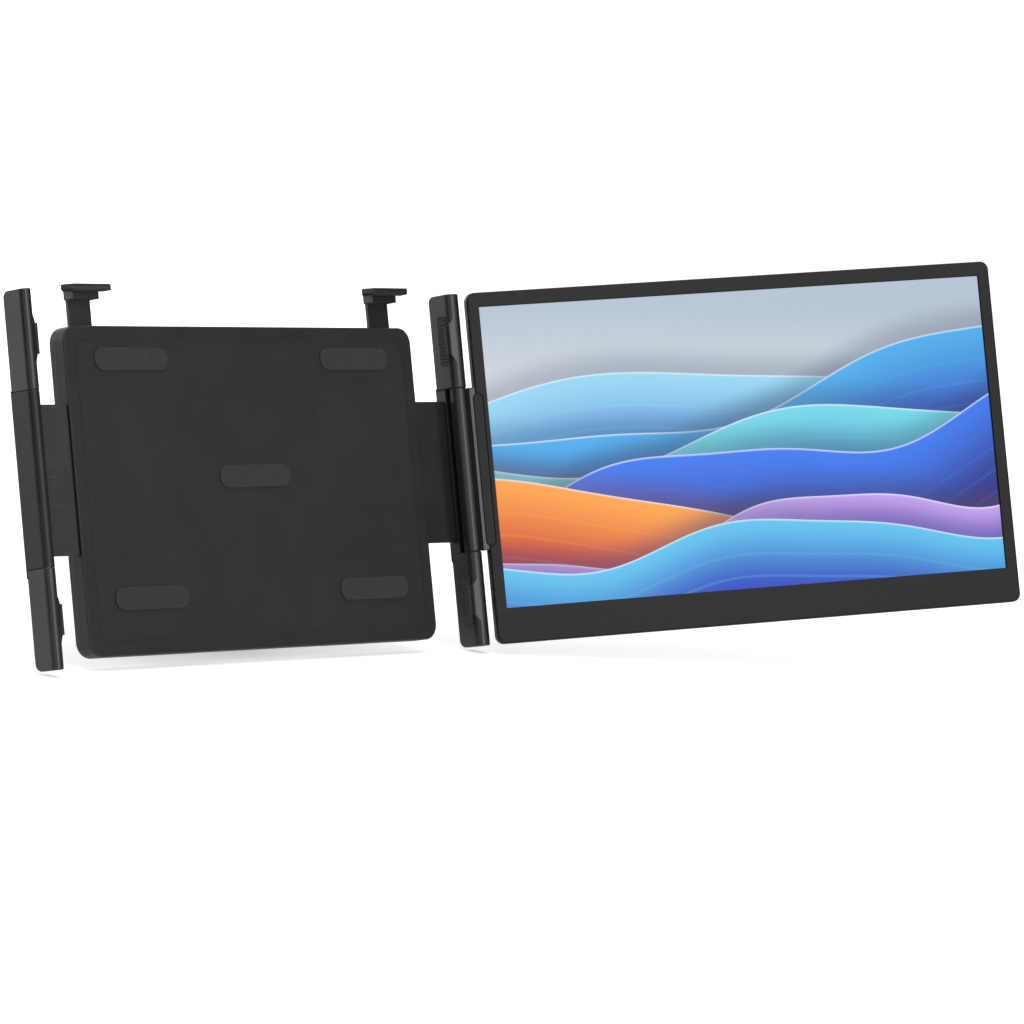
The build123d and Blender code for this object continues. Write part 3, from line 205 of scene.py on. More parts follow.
class Graph:
    """The node graph of one material or world."""

    def __init__(self, owner: Union[bpy.types.Material, bpy.types.World]) -> None:
        """Empties the graph of a material or world.

        Args:
            owner: the material or world.
        """
        owner.use_nodes = True
        self.owner = owner
        self.tree = owner.node_tree
        self.tree.nodes.clear()

    @classmethod
    def of_material(cls, name: str) -> Graph:
        """An empty graph in a new material."""
        return cls(bpy.data.materials.new(name))

    def node(
        self,
        kind: str,
        settings: Optional[dict[str, object]] = None,
        inputs: Optional[dict[Union[int, str], object]] = None,
        output: Union[int, str] = 0,
    ) -> Signal:
        """Adds a node.

        Args:
            kind: the node's type name.
            settings: its settings, set before its sockets; "stops" fills a colour ramp.
            inputs: values or signals for its sockets, by index or name; a Colour gets alpha 1.
            output: which output to return.

        Returns:
            The output as a signal.
        """
        made = self.tree.nodes.new(kind)
        for name, value in (settings or {}).items():
            if name == "stops":
                self._fill_ramp(made.color_ramp, value)
            else:
                setattr(made, name, value)
        for name, value in (inputs or {}).items():
            if isinstance(value, Signal):
                self.tree.links.new(value.socket, made.inputs[name])
            else:
                opaque = isinstance(value, tuple) and len(value) == 3
                made.inputs[name].default_value = (*value, 1.0) if opaque else value
        return Signal(self, made.outputs[output] if len(made.outputs) else None)

    @staticmethod
    def _fill_ramp(ramp: bpy.types.ColorRamp, stops: Sequence[tuple[float, Colour]]) -> None:
        """Gives a ramp its stops, from low to high.

        Args:
            ramp: the ramp.
            stops: (position, colour) pairs.
        """
        while len(ramp.elements) < len(stops):
            ramp.elements.new(1.0)
        for element, (position, colour) in zip(ramp.elements, stops):
            element.position = position
            element.color = (*colour, 1.0)

    def vector(self, operation: str, first: object, second: object = None) -> Signal:
        """A Vector Math node.

        Args:
            operation: Blender's name of the operation.
            first: a vector or a signal.
            second: a vector or a signal, where the operation takes two.

        Returns:
            The result, a number for a length or a dot product.
        """
        inputs = {0: first} if second is None else {0: first, 1: second}
        output = "Value" if operation in ("LENGTH", "DOT_PRODUCT") else "Vector"
        return self.node("ShaderNodeVectorMath", {"operation": operation}, inputs, output)

    def mix(self, factor: Value, first: object, second: object) -> Signal:
        """A colour between two: factor 0 gives the first and 1 the second."""
        inputs = {MIX_FACTOR: factor, MIX_FIRST: first, MIX_SECOND: second}
        return self.node("ShaderNodeMix", {"data_type": "RGBA"}, inputs, MIX_RESULT)

    def position(self) -> Signal:
        """The shaded point in row metres."""
        return self.node("ShaderNodeTexCoord", output="Object")

    def noise(
        self, size_mm: float, detail: float = 2.0, stretch: Optional[Vector] = None
    ) -> Signal:
        """Noise with features of a given size.

        Args:
            size_mm: size of a feature.
            detail: how many finer layers it has.
            stretch: scale of the pattern along X, Y and Z.

        Returns:
            A value about 0.5.
        """
        point = self.position()
        if stretch is not None:
            point = self.vector("MULTIPLY", point, stretch)
        inputs = {"Vector": point, "Scale": 1.0 / (size_mm * MM), "Detail": detail}
        return self.node("ShaderNodeTexNoise", {"noise_dimensions": "3D"}, inputs)

    def rounded(self, radius_mm: float) -> Signal:
        """The surface's normal with its edges rounded off by a small radius."""
        return self.node("ShaderNodeBevel", {"samples": 6}, {"Radius": radius_mm * MM})

    def bump(self, height: Signal, depth_mm: float, under: Optional[Signal] = None) -> Signal:
        """A normal that follows a height.

        Args:
            height: from 0 to 1.
            depth_mm: height of 1 in millimetres.
            under: a normal to add it to.

        Returns:
            The normal.
        """
        inputs = {"Strength": 1.0, "Distance": depth_mm * MM, "Height": height}
        if under is not None:
            inputs["Normal"] = under
        return self.node("ShaderNodeBump", None, inputs)

    def finish(self, **sockets: object) -> bpy.types.Material:
        """Ends the graph in a Principled shader.

        Args:
            **sockets: values or signals, named as the shader's sockets with _ for spaces.

        Returns:
            The material.
        """
        inputs = {name.replace("_", " "): value for name, value in sockets.items()}
        shader = self.node("ShaderNodeBsdfPrincipled", None, inputs)
        self.node("ShaderNodeOutputMaterial", None, {"Surface": shader})
        return self.owner


# ---- Places ----


@dataclass(frozen=True)
class Place:
    """A frame fixed to a part of the object: right, back and up as unit vectors, in row metres."""

    origin: Vector
    right: Vector
    back: Vector
    up: Vector

    def to_row(self, points_mm: np.ndarray) -> np.ndarray:
        """Row metres of points given in this place's millimetres, one a row."""
        basis = np.array([self.right, self.back, self.up])
        return np.array(self.origin) + (points_mm * MM) @ basis

    def extent(self, node: str) -> tuple[np.ndarray, np.ndarray]:
        """Lowest and highest corner of a node in this place.

        Args:
            node: the node's name.

        Returns:
            Two corners in millimetres.
        """
        mesh = FRAME["nodes"][node].data
        points = np.empty(len(mesh.vertices) * 3)
        mesh.vertices.foreach_get("co", points)
        basis = np.array([self.right, self.back, self.up])
        local = (points.reshape(-1, 3) - np.array(self.origin)) @ basis.T / MM
        return local.min(0), local.max(0)

    def inset(self, node: str, border: float) -> tuple[Corner, Corner]:
        """Right and up of a node's lower left and upper right corner, moved in by a border."""
        low, high = self.extent(node)
        return (low[0] + border, low[2] + border), (high[0] - border, high[2] - border)

    def coordinates(self, graph: Graph) -> tuple[Signal, Signal, Signal]:
        """Coordinates of the shaded point in this place.

        Args:
            graph: the graph to add the nodes to.

        Returns:
            Right, back and up, in millimetres.
        """
        apart = graph.vector("SUBTRACT", graph.position(), self.origin)
        axes = (self.right, self.back, self.up)
        return tuple(graph.vector("DOT_PRODUCT", apart, axis) / MM for axis in axes)


def joint(name: str) -> dict:
    """A joint of the frame by its name."""
    return next(j for j in FRAME["joints"] if j["name"] == name)


def lid_place() -> Place:
    """The place of the bracket, which leans back with the lid.

    Returns:
        A place with the row's origin.
    """
    up = Vector(joint("left_clip_slide")["axis"]).normalized()
    right = Vector((1.0, 0.0, 0.0))
    return Place(Vector((0.0, 0.0, 0.0)), right, up.cross(right), up)


def screen_place() -> Place:
    """The place of the screen, whose right runs along the screen.

    Returns:
        A place with its origin on the hinge line.
    """
    up = -Vector(joint("screen_hinge")["axis"]).normalized()
    right = -Vector(joint("power_press")["axis"]).normalized()
    return Place(Vector(joint("screen_hinge")["pos_m"]), right, up.cross(right), up)


# ---- Finishes ----


@dataclass(frozen=True)
class Groove:
    """A fine rounded-rectangle groove in a face of a place, with a coarser field inside it."""

    place: Place
    low: Corner
    high: Corner
    corner: float
    width: float = 0.5

    def masks(self, graph: Graph) -> tuple[Signal, Signal]:
        """The groove's line and its inside.

        The distance to a rounded rectangle is |max(q, 0)| + min(max(qx, qz), 0) - corner, with
        q = |p - middle| - half size + corner.

        Args:
            graph: the graph to add the nodes to.

        Returns:
            1 on the line, and 1 inside it.
        """
        x, _, z = self.place.coordinates(graph)
        middle = [(a + b) / 2 for a, b in zip(self.low, self.high)]
        half = [(b - a) / 2 - self.corner for a, b in zip(self.low, self.high)]
        across, along = abs(x - middle[0]) - half[0], abs(z - middle[1]) - half[1]
        outer = (across.most(0) ** 2 + along.most(0) ** 2).root()
        distance = outer + across.most(along).least(0) - self.corner
        return distance.stroke(self.width / 2, self.width / 4), distance.fade(0.05, -0.05)


@dataclass(frozen=True)
class MouldedPlastic:
    """Plastic with the fine spark-eroded grain of a mould, faint large-scale variation, and painted shade along
    its groove and seam.
    """

    name: str
    colour: Colour
    roughness: float = 0.5
    grain_mm: float = 0.45
    grain_depth_mm: float = 0.02
    variation: float = 0.15
    specular: float = 0.3
    edge_mm: float = 0.4
    cloud_mm: float = 38.0
    rough_sway: float = 0.1
    pebble_mm: float = 0.9
    pebble_depth_mm: float = 0.12
    pebble_rough: float = 0.08
    groove_depth: float = 2.0  # in pebbles
    # how far the groove's line is painted towards black: painted shade in the recess
    groove_shade: float = 0.8
    seam_half_mm: float = 0.16
    seam_soft_mm: float = 0.1
    seam_depth_mm: float = 0.15
    # place and back coordinate of a seam between shells, along which a painted shadow line is drawn
    seam: Optional[tuple[Place, float]] = None
    groove: Optional[Groove] = None

    def material(self) -> bpy.types.Material:
        """The finish as a material.

        Returns:
            Noise grain as bump, slow noise on colour and roughness, a groove and a seam, with painted shade along
            their lines.
        """
        graph = Graph.of_material(self.name)
        grain = graph.noise(self.grain_mm, 3.0)
        cloud = graph.noise(self.cloud_mm, 4.0)
        dark, light = (scaled(self.colour, 1 + k * self.variation) for k in (-1, 1))
        colour = graph.mix(cloud.fade(*CLOUD_FADE), dark, light)
        rough = self.roughness + cloud.sway(self.rough_sway) + grain.sway(self.rough_sway)
        normal = graph.bump(grain, self.grain_depth_mm, graph.rounded(self.edge_mm))
        if self.groove is not None:
            line, inside = self.groove.masks(graph)
            # painted shade: the groove's line is darkened as the shade in a recess
            colour = graph.mix(line * self.groove_shade, colour, BLACK)
            rough = rough + inside * self.pebble_rough
            height = graph.noise(self.pebble_mm) * inside - line * self.groove_depth
            normal = graph.bump(height, self.pebble_depth_mm, normal)
        if self.seam is not None:
            place, depth = self.seam
            apart = place.coordinates(graph)[1] - depth
            line = apart.stroke(self.seam_half_mm, self.seam_soft_mm)
            # painted shadow: the seam's line goes to black as the shade in a gap between shells
            colour = graph.mix(line, colour, BLACK)
            normal = graph.bump(1 - line, self.seam_depth_mm, normal)
        return graph.finish(
            Base_Color=colour, Roughness=rough, Normal=normal, Specular_IOR_Level=self.specular
        )


@dataclass(frozen=True)
class AnodisedMetal:
    """Blasted and anodised aluminium: a satin dark skin, with rub marks if it slides, and painted shade at the
    joints between a bar's sections.
    """

    name: str
    colour: Colour
    roughness: float = 0.36
    metallic: float = 0.5
    variation: float = 0.15
    specular: float = 0.5
    grain_mm: float = 0.25
    grain_depth_mm: float = 0.012
    grain_rough: float = 0.12
    edge_mm: float = 0.35
    cloud_mm: float = 55.0
    cloud_rough: float = 0.08
    rub_mm: float = 0.5
    rub_patch_mm: float = 22.0
    rub_fade: tuple[float, float] = (0.60, 0.72)
    rub_patch_fade: tuple[float, float] = (0.45, 0.65)
    rub_share: float = 0.35
    rub_shine: float = 0.08
    rub_pale: float = 3.0  # times the colour
    joint_half_mm: float = 0.7
    joint_soft_mm: float = 0.3
    joint_rough: float = 0.5
    joint_depth_mm: float = 0.3
    rub: Optional[Vector] = None
    # place and height of the joints between a bar's sections, painted black as the shade in their gaps
    joint_lines: Optional[tuple[Place, float]] = None

    def material(self) -> bpy.types.Material:
        """The finish as a material.

        Returns:
            A part-metallic material with blasted grain as bump and roughness, and painted shade at the joints.
        """
        graph = Graph.of_material(self.name)
        grain = graph.noise(self.grain_mm)
        cloud = graph.noise(self.cloud_mm, 3.0)
        dark, light = (scaled(self.colour, 1 + k * self.variation) for k in (-1, 1))
        colour = graph.mix(cloud.fade(*CLOUD_FADE), dark, light)
        rough = self.roughness + grain.sway(self.grain_rough) + cloud.sway(self.cloud_rough)
        if self.rub is not None:
            patches = graph.noise(self.rub_patch_mm).fade(*self.rub_patch_fade)
            marks = graph.noise(self.rub_mm, 3.0, self.rub).fade(*self.rub_fade) * patches
            pale = scaled(self.colour, self.rub_pale)
            colour = graph.mix(marks * self.rub_share, colour, pale)
            rough = rough - marks * self.rub_shine
        normal = graph.bump(grain, self.grain_depth_mm, graph.rounded(self.edge_mm))
        if self.joint_lines is not None:
            place, height = self.joint_lines
            apart = abs(place.coordinates(graph)[2]) - height
            line = apart.stroke(self.joint_half_mm, self.joint_soft_mm)
            # painted shade: the joint's line goes to black as the shadow in the gap between sections
            colour = graph.mix(line, colour, BLACK)
            rough = rough + line * self.joint_rough
            normal = graph.bump(1 - line, self.joint_depth_mm, normal)
        return graph.finish(
            Base_Color=colour,
            Roughness=rough,
            Metallic=self.metallic,
            Normal=normal,
            Specular_IOR_Level=self.specular,
        )


@dataclass(frozen=True)
class BrushedSteel:
    """Bare metal with fine marks along X."""

    name: str
    colour: Colour = (0.56, 0.56, 0.57)
    roughness: float = 0.3
    marks_mm: float = 0.12
    marks_depth_mm: float = 0.004
    marks_dark: float = 0.8  # times the colour
    marks_rough: float = 0.2
    drawn_out: float = 0.04  # scale of the marks along X

    def material(self) -> bpy.types.Material:
        """The finish as a material.

        Returns:
            A metallic material whose noise is drawn out along the marks.
        """
        graph = Graph.of_material(self.name)
        marks = graph.noise(self.marks_mm, 2.0, Vector((self.drawn_out, 1.0, 1.0)))
        dark = scaled(self.colour, self.marks_dark)
        return graph.finish(
            Base_Color=graph.mix(marks.fade(*CLOUD_FADE), dark, self.colour),
            Roughness=self.roughness + marks.sway(self.marks_rough),
            Metallic=1.0,
            Normal=graph.bump(marks, self.marks_depth_mm),
        )


@dataclass(frozen=True)
class SoftRubber:
    """Matt black rubber, a little dusty, with optional fine ribs across a direction of a place."""

    name: str
    colour: Colour = (0.012, 0.012, 0.013)
    roughness: float = 0.78
    pore_mm: float = 0.3
    pore_depth_mm: float = 0.03
    dust_mm: float = 6.0
    dust_pale: float = 1.25  # times the colour
    edge_mm: float = 0.25
    rib_depth_mm: float = 0.25
    ribs: Optional[tuple[Place, int, float]] = None

    def material(self) -> bpy.types.Material:
        """The finish as a material.

        Returns:
            A rough material with pores, and ribs at the given pitch.
        """
        graph = Graph.of_material(self.name)
        pores = graph.noise(self.pore_mm, 3.0)
        dust = graph.noise(self.dust_mm, 4.0).fade(0.4, 0.8)
        colour = graph.mix(dust, self.colour, scaled(self.colour, self.dust_pale))
        normal = graph.bump(pores, self.pore_depth_mm, graph.rounded(self.edge_mm))
        if self.ribs is not None:
            place, axis, pitch = self.ribs
            rib = place.coordinates(graph)[axis].repeat(pitch).fade(pitch * 0.1, pitch * 0.3)
            normal = graph.bump(rib, self.rib_depth_mm, normal)
        rough = self.roughness + pores.sway(0.2)
        return graph.finish(Base_Color=colour, Roughness=rough, Normal=normal)


@dataclass(frozen=True)
class CircuitBoard:
    """Green solder mask with darker tracks and gold pads."""

    name: str
    cell_mm: float = 2.2
    track: Colour = (0.012, 0.11, 0.045)
    mask: Colour = (0.02, 0.17, 0.07)
    gold: Colour = (0.6, 0.42, 0.12)
    roughness: float = 0.35
    track_fade: tuple[float, float] = (0.42, 0.5)
    pad_fade: tuple[float, float] = (0.08, 0.05)
    track_depth_mm: float = 0.03

    def material(self) -> bpy.types.Material:
        """The finish as a material.

        Returns:
            A material with a cellular track pattern.
        """
        graph = Graph.of_material(self.name)
        inputs = {"Vector": graph.position(), "Scale": 1.0 / (self.cell_mm * MM)}
        settings = {"distance": "CHEBYCHEV"}
        cells = graph.node("ShaderNodeTexVoronoi", settings, inputs, "Distance")
        tracks, pads = cells.fade(*self.track_fade), cells.fade(*self.pad_fade)
        board = graph.mix(tracks, self.track, self.mask)
        return graph.finish(
            Base_Color=graph.mix(pads, board, self.gold),
            Roughness=self.roughness,
            Metallic=pads,
            Normal=graph.bump(tracks, self.track_depth_mm),
        )


class Look(Enum):
    """The finishes that nodes share, by the record's material slot."""

    SHELL = "shell_black"
    BAR = "bar_black"
    SCREEN = "screen_black"
    RUBBER = "rubber_black"
    ARM = "arm_metal"
    STEEL = "steel"
    SCREW = "black_screw"
    SLIDE = "slide_plastic"
    DISPLAY = "display"
    GUIDE = "light_guide"
    BOARD = "circuit_board"
    CHIP = "chips"
    SOCKET = "socket_metal"
    BUSH = "bush_bronze"
    KEY = "key_black"


@dataclass(frozen=True)
class Wave:
    """One layer of the picture: its crest and its colours."""

    crest: float
    slope: float
    swing: float
    waves: float
    phase: float
    bright: Colour
    deep: Colour
    depth: float = 0.34
    overtone: float = 2.15  # waves of the finer ripple to one of the main one
    overtone_swing: float = 0.22

    def below(self, s: Signal, t: Signal) -> Signal:
        """How far a point is below the crest.

        The crest is crest + slope * s + swing * sin(2 pi waves s + phase), and a finer ripple.

        Args:
            s: share of the picture's width.
            t: share of its height.

        Returns:
            A share of the height, above 0 where the layer covers the point.
        """
        turns = 2 * math.pi * self.waves
        ripple = (s * turns + self.phase).sine()
        finer = (s * (turns * self.overtone) + self.phase * 2).sine()
        swings = ripple * self.swing + finer * (self.swing * self.overtone_swing)
        return swings + s * self.slope + self.crest - t


@dataclass(frozen=True)
class WavePicture:
    """The lit picture: layers of paper-cut waves under a pale sky, with a low warm dune."""

    name: str
    place: Place
    low: Corner
    high: Corner
    brightness: float = 0.95
    border_colour: Colour = (0.003, 0.003, 0.003)
    glass_colour: Colour = (0.006, 0.006, 0.007)
    shadow: float = 0.11
    shadow_dark: float = 0.38
    shadow_tint: float = 0.2  # times the deep colour
    contour: float = 0.075
    contour_pale: float = 0.22
    contour_turns: float = 9.0  # radians of its wobble across the picture
    contour_wobble: float = 0.004
    rim: float = 0.009
    rim_inner: float = 0.001
    rim_pale: float = 0.6
    rim_colour: Colour = screen_colour(240, 248, 255)
    crest_soft: float = 0.0012
    deepening: float = 0.75  # power of the change from bright to deep
    sky_tilt: float = 0.12
    border_mm: float = 0.1
    glass_rough: float = 0.34
    sky: tuple[tuple[float, Colour], ...] = (
        (0.30, screen_colour(226, 229, 232)),
        (0.75, screen_colour(206, 214, 222)),
        (1.0, screen_colour(180, 194, 210)),
    )
    layers: tuple[Wave, ...] = tuple(
        Wave(*shape[:5], screen_colour(*bright), screen_colour(*deep), *shape[5:])
        for shape, bright, deep in (
            ((0.66, 0.04, 0.080, 0.70, 0.2), (150, 214, 242), (40, 140, 222)),
            ((0.50, 0.28, 0.070, 0.95, 2.2), (64, 172, 236), (8, 70, 196)),
            ((0.52, -0.02, 0.095, 0.80, 4.2), (110, 216, 232), (8, 104, 190)),
            ((0.31, 0.27, 0.075, 1.10, 5.7), (40, 116, 240), (6, 26, 130)),
            ((0.37, -0.22, 0.055, 0.90, 1.2, 0.30), (255, 164, 62), (214, 62, 6)),
            ((0.13, 0.17, 0.070, 1.35, 2.7, 0.20), (196, 160, 238), (84, 70, 206)),
            ((0.16, 0.02, 0.062, 1.15, 3.9, 0.24), (88, 196, 240), (6, 60, 190)),
        )
    )

    def material(self) -> bpy.types.Material:
        """The picture as a material.

        With s running across the picture and t up it from 0 to 1, each layer covers what is below
        its crest, goes from its bright to its deep colour downwards, has a pale rim and fine
        contour bands, and throws a soft shadow on the layer behind.

        Returns:
            A material that emits the picture, and a dark border outside it.
        """
        graph = Graph.of_material(self.name)
        x, _, z = self.place.coordinates(graph)
        s = (x - self.low[0]) / (self.high[0] - self.low[0])
        t = (z - self.low[1]) / (self.high[1] - self.low[1])
        stops = {"stops": self.sky}
        picture = graph.node("ShaderNodeValToRGB", stops, {"Fac": t + s * self.sky_tilt})
        for wave in self.layers:
            below = wave.below(s, t)
            shade = (-below).fade(self.shadow, 0.0) * self.shadow_dark
            picture = graph.mix(shade, picture, scaled(wave.deep, self.shadow_tint))
            depth = below.fade(0.0, wave.depth) ** self.deepening
            body = graph.mix(depth, wave.bright, wave.deep)
            wobble = (s * self.contour_turns).sine() * self.contour_wobble
            band = (below + wobble).repeat(self.contour)
            band = band.fade(self.contour * 0.4, self.contour / 2)
            body = graph.mix(band * self.contour_pale, body, wave.bright)
            rim = below.fade(self.rim, self.rim_inner) * self.rim_pale
            body = graph.mix(rim, body, self.rim_colour)
            picture = graph.mix(below.fade(-self.crest_soft, self.crest_soft), picture, body)
        inside = self.inside(x, z)
        return graph.finish(
            Base_Color=graph.mix(inside, self.border_colour, self.glass_colour),
            Roughness=self.glass_rough + graph.noise(0.2).sway(0.1),
            Specular_IOR_Level=0.2,
            Emission_Color=graph.mix(inside, (0.0, 0.0, 0.0), picture),
            Emission_Strength=self.brightness,
        )

    def inside(self, x: Signal, z: Signal) -> Signal:
        """Where the display is lit.

        Args:
            x: millimetres across the screen.
            z: millimetres up the screen.

        Returns:
            1 inside the picture's four edges and 0 in the border round it.
        """
        left, right, foot, top = (
            value.fade(edge + side * self.border_mm, edge)
            for value, axis in ((x, 0), (z, 1))
            for edge, side in ((self.low[axis], -1), (self.high[axis], 1))
        )
        return left * right * foot * top


# ---- Meshes from grids ----


def add_object(name: str, data: bpy.types.ID) -> bpy.types.Object:
    """Adds an object to the scene.

    Args:
        name: its name.
        data: its mesh, lamp or camera.

    Returns:
        The object, at the origin.
    """
    made = bpy.data.objects.new(name, data)
    bpy.context.scene.collection.objects.link(made)
    return made


def grid_quads(rows: int, columns: int) -> np.ndarray:
    """Quads of a grid that is closed along its columns.

    Args:
        rows: how many rows of points.
        columns: how many points a row has.

    Returns:
        Four point numbers a row.
    """
    row, column = np.meshgrid(np.arange(rows - 1), np.arange(columns), indexing="ij")
    following = (column + 1) % columns
    corners = (row * columns + column, row * columns + following)
    upper = ((row + 1) * columns + following, (row + 1) * columns + column)
    return np.stack([*corners, *upper], axis=-1).reshape(-1, 4)


def make_piece(
    name: str, grids: Iterable[np.ndarray], place: Place, material: bpy.types.Material
) -> bpy.types.Object:
    """One closed mesh piece from closed grids.

    Args:
        name: the piece's name.
        grids: arrays of rows x columns x 3 points in the place's millimetres; the first and last
            row of each meet in a point.
        place: the place that the points are in.
        material: its finish.

    Returns:
        The object, at the origin.
    """
    points, quads, count = [], [], 0
    for grid in grids:
        rows, columns, _ = grid.shape
        points.append(grid.reshape(-1, 3))
        quads.append(grid_quads(rows, columns) + count)
        count += rows * columns
    mesh = bpy.data.meshes.new(name)
    corners = place.to_row(np.concatenate(points))
    mesh.from_pydata(corners.tolist(), [], np.concatenate(quads).tolist())
    work = bmesh.new()
    work.from_mesh(mesh)
    bmesh.ops.remove_doubles(work, verts=work.verts, dist=1e-7)
    bmesh.ops.dissolve_degenerate(work, edges=work.edges, dist=1e-8)
    bmesh.ops.recalc_face_normals(work, faces=work.faces)
    work.to_mesh(mesh)
    work.free()
    mesh.materials.append(material)
    mesh.polygons.foreach_set("use_smooth", np.ones(len(mesh.polygons), dtype=bool))
    mesh.update()
    piece = add_object(name, mesh)
    piece.modifiers.new("sharp edges", "EDGE_SPLIT").split_angle = SMOOTH_BELOW
    return piece


def smooth_step(low: float, high: float, value: np.ndarray) -> np.ndarray:
    """0 below low, 1 above high and 3t^2 - 2t^3 between."""
    t = np.clip((value - low) / (high - low), 0.0, 1.0)
    return t * t * (3 - 2 * t)


@dataclass(frozen=True)
class CrossHead:
    """A small domed screw head with a cross recess."""

    radius: float
    height: float
    dome: float = 0.12
    arm: float = 0.62
    slot: float = 0.17
    depth: float = 0.5
    segments: int = 72
    rings: int = 22

    def grid(self, centre: Corner, face: float) -> np.ndarray:
        """Points of the head.

        The top is dome * (1 - (r / radius)^2), less the recess depth where the point lies within
        slot of either arm and within arm of the middle, both as shares of the radius. The side
        runs straight down.

        Args:
            centre: right and up of its middle, in millimetres.
            face: back coordinate of the seat under the head, which faces the back.

        Returns:
            A grid of points, the first and last row at the axis.
        """
        share = np.concatenate([np.linspace(0.0, 0.97, self.rings), [1.0, 1.0, 0.0]])[:, None]
        turn = np.linspace(0.0, 2 * np.pi, self.segments, endpoint=False)[None, :]
        along, across = share * np.cos(turn), share * np.sin(turn)
        thin = np.minimum(np.abs(along), np.abs(across))
        recess = smooth_step(self.slot, self.slot * 0.6, thin)
        recess = recess * smooth_step(self.arm, self.arm * 0.85, share)
        top = self.height - self.dome * share**2 - self.depth * recess
        top[-4] = self.height - self.dome
        top[-3] = self.height - self.dome * 1.6
        top[-2:] = 0.0
        x, z = centre[0] + self.radius * along, centre[1] + self.radius * across
        return np.stack([x, face + np.broadcast_to(top, along.shape), z], axis=-1)


@dataclass(frozen=True)
class RibbedPad:
    """A round-ended rubber strip with fine cross ribs on its face."""

    length: float
    width: float
    height: float
    pitch: float = 3.0
    rib: float = 0.5
    edge: float = 0.7
    crown: float = 0.65
    end_points: int = 26

    def grid(self, centre: Corner, seat: float) -> np.ndarray:
        """Points of the pad.

        A point is the spine's point plus share * half width along the outline's normal. The
        height falls off as a quarter circle over the last edge millimetres, and the ribs are
        |sin|^4 dips that fade out at the rim.

        Args:
            centre: right and up of its middle, in millimetres.
            seat: back coordinate of the surface under it; the pad stands towards the front.

        Returns:
            A grid of points, the first and last row on the spine.
        """
        half, radius, quarter = (self.length - self.width) / 2, self.width / 2, np.pi / 2
        straight = np.linspace(-half, half, int(2 * half / self.pitch * POINTS_PER_RIB))
        arc = np.linspace(-quarter, quarter, self.end_points)[1:-1]
        ends = [np.full(len(arc), side * half) for side in (1, -1)]
        spine = np.concatenate([straight, ends[0], straight[::-1], ends[1]])
        sides = [np.full(len(straight), side * quarter) for side in (-1, 1)]
        turn = np.concatenate([sides[0], arc, sides[1], arc + np.pi])
        slope = np.linspace(radius * 0.85, self.edge * 1.4, 4)
        inset = np.concatenate([[radius], slope, np.linspace(self.edge, 0, 6)])[:, None]
        share = 1 - inset / radius
        x = spine[None, :] + share * radius * np.cos(turn)[None, :]
        z = share * radius * np.sin(turn)[None, :]
        fall = np.sqrt(1 - np.clip(1 - inset / self.edge, 0, 1) ** 2)
        middle = smooth_step(half + 1.0, half - 0.5, np.abs(x)) * smooth_step(0.0, 2.0, inset)
        ribs = self.rib * np.abs(np.sin(np.pi * x / self.pitch)) ** 4 * middle
        y = seat - self.height * (1 - self.crown + self.crown * fall) + ribs
        rows = np.stack([centre[0] + x, y, centre[1] + z], axis=-1)
        foot, floor = rows[-1:].copy(), rows[:1].copy()
        foot[..., 1] = floor[..., 1] = seat
        return np.concatenate([rows, foot, floor])


@dataclass(frozen=True)
class RibbedLiner:
    """A rubber liner with ribs on one face: a rectangle with round corners carried up a bar."""

    thick: Corner
    wide: Corner
    tall: Corner
    pitch: float = 2.4
    rib: float = 0.3
    corner: float = 0.22

    def grid(self) -> np.ndarray:
        """Points of the liner as thickness, width and height.

        The outline at each height is the rectangle of the corner centres, pushed out by what is
        left of the corner radius, which falls to nothing as a quarter circle at both ends. The
        ribbed face is the one at the second thickness: it dips by
        rib * |sin(pi * height / pitch)|^4, less towards the other face and the ends.

        Returns:
            A grid of points, the first and last row in the middle of an end.
        """
        length, quarter = self.tall[1] - self.tall[0], np.pi / 2
        ends = self.corner * (1 - np.cos(np.linspace(0.0, quarter, 5)))[:-1]
        count = int(length / self.pitch * POINTS_PER_RIB)
        inner = np.linspace(self.corner, length - self.corner, count)
        rise = np.concatenate([ends[:1], ends, inner, length - ends[::-1]])
        rise = np.concatenate([rise, rise[-1:]])[:, None]
        end = np.minimum(rise, rise[-1] - rise)
        left = 1 - np.clip(1 - end / self.corner, 0.0, 1.0) ** 2
        reach = self.corner * np.sqrt(np.clip(left, 0.0, 1.0))
        turn = np.linspace(0.0, quarter, 4)[None, :] + np.arange(4)[:, None] * quarter
        turn = turn.ravel()[None, :]
        halves = [(side[1] - side[0]) / 2 for side in (self.thick, self.wide)]
        signs = np.repeat(np.array([[1, 1], [-1, 1], [-1, -1], [1, -1]]), 4, axis=0).T
        along = signs[0] * (halves[0] - self.corner) + reach * np.cos(turn)
        across = signs[1] * (halves[1] - self.corner) + reach * np.sin(turn)
        along[[0, -1]], across[[0, -1]] = 0.0, 0.0
        face = 1.0 if self.thick[1] > self.thick[0] else -1.0
        share = np.clip(along / halves[0], 0.0, 1.0) * smooth_step(0.3, 1.2, end)
        ribs = self.rib * share * np.abs(np.sin(np.pi * rise / self.pitch)) ** 4
        height = np.broadcast_to(rise + self.tall[0], along.shape)
        middles = [sum(side) / 2 for side in (self.thick, self.wide)]
        return np.stack([middles[0] + along - face * ribs, middles[1] + across, height], axis=-1)


# ---- Sub-assemblies ----


def dress(node: str, material: bpy.types.Material) -> None:
    """Gives a node of the frame its finish and logs it.

    Args:
        node: the node's name.
        material: the finish.
    """
    mesh = FRAME["nodes"][node].data
    mesh.materials.clear()
    mesh.materials.append(material)
    LOG.info("dressed %s with %s", node, material.name)


def seat_piece(piece: bpy.types.Object, body: str, look: Look, *nodes: str) -> None:
    """Makes a new piece ride on a body and stand for nodes.

    Args:
        piece: the piece.
        body: the body that it rides on.
        look: not used; the record's slot of its finish.
        *nodes: the nodes that it stands for.
    """
    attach(piece, body)
    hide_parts(*nodes)
    LOG.info("made %s on %s, %d faces", piece.name, body, len(piece.data.polygons))


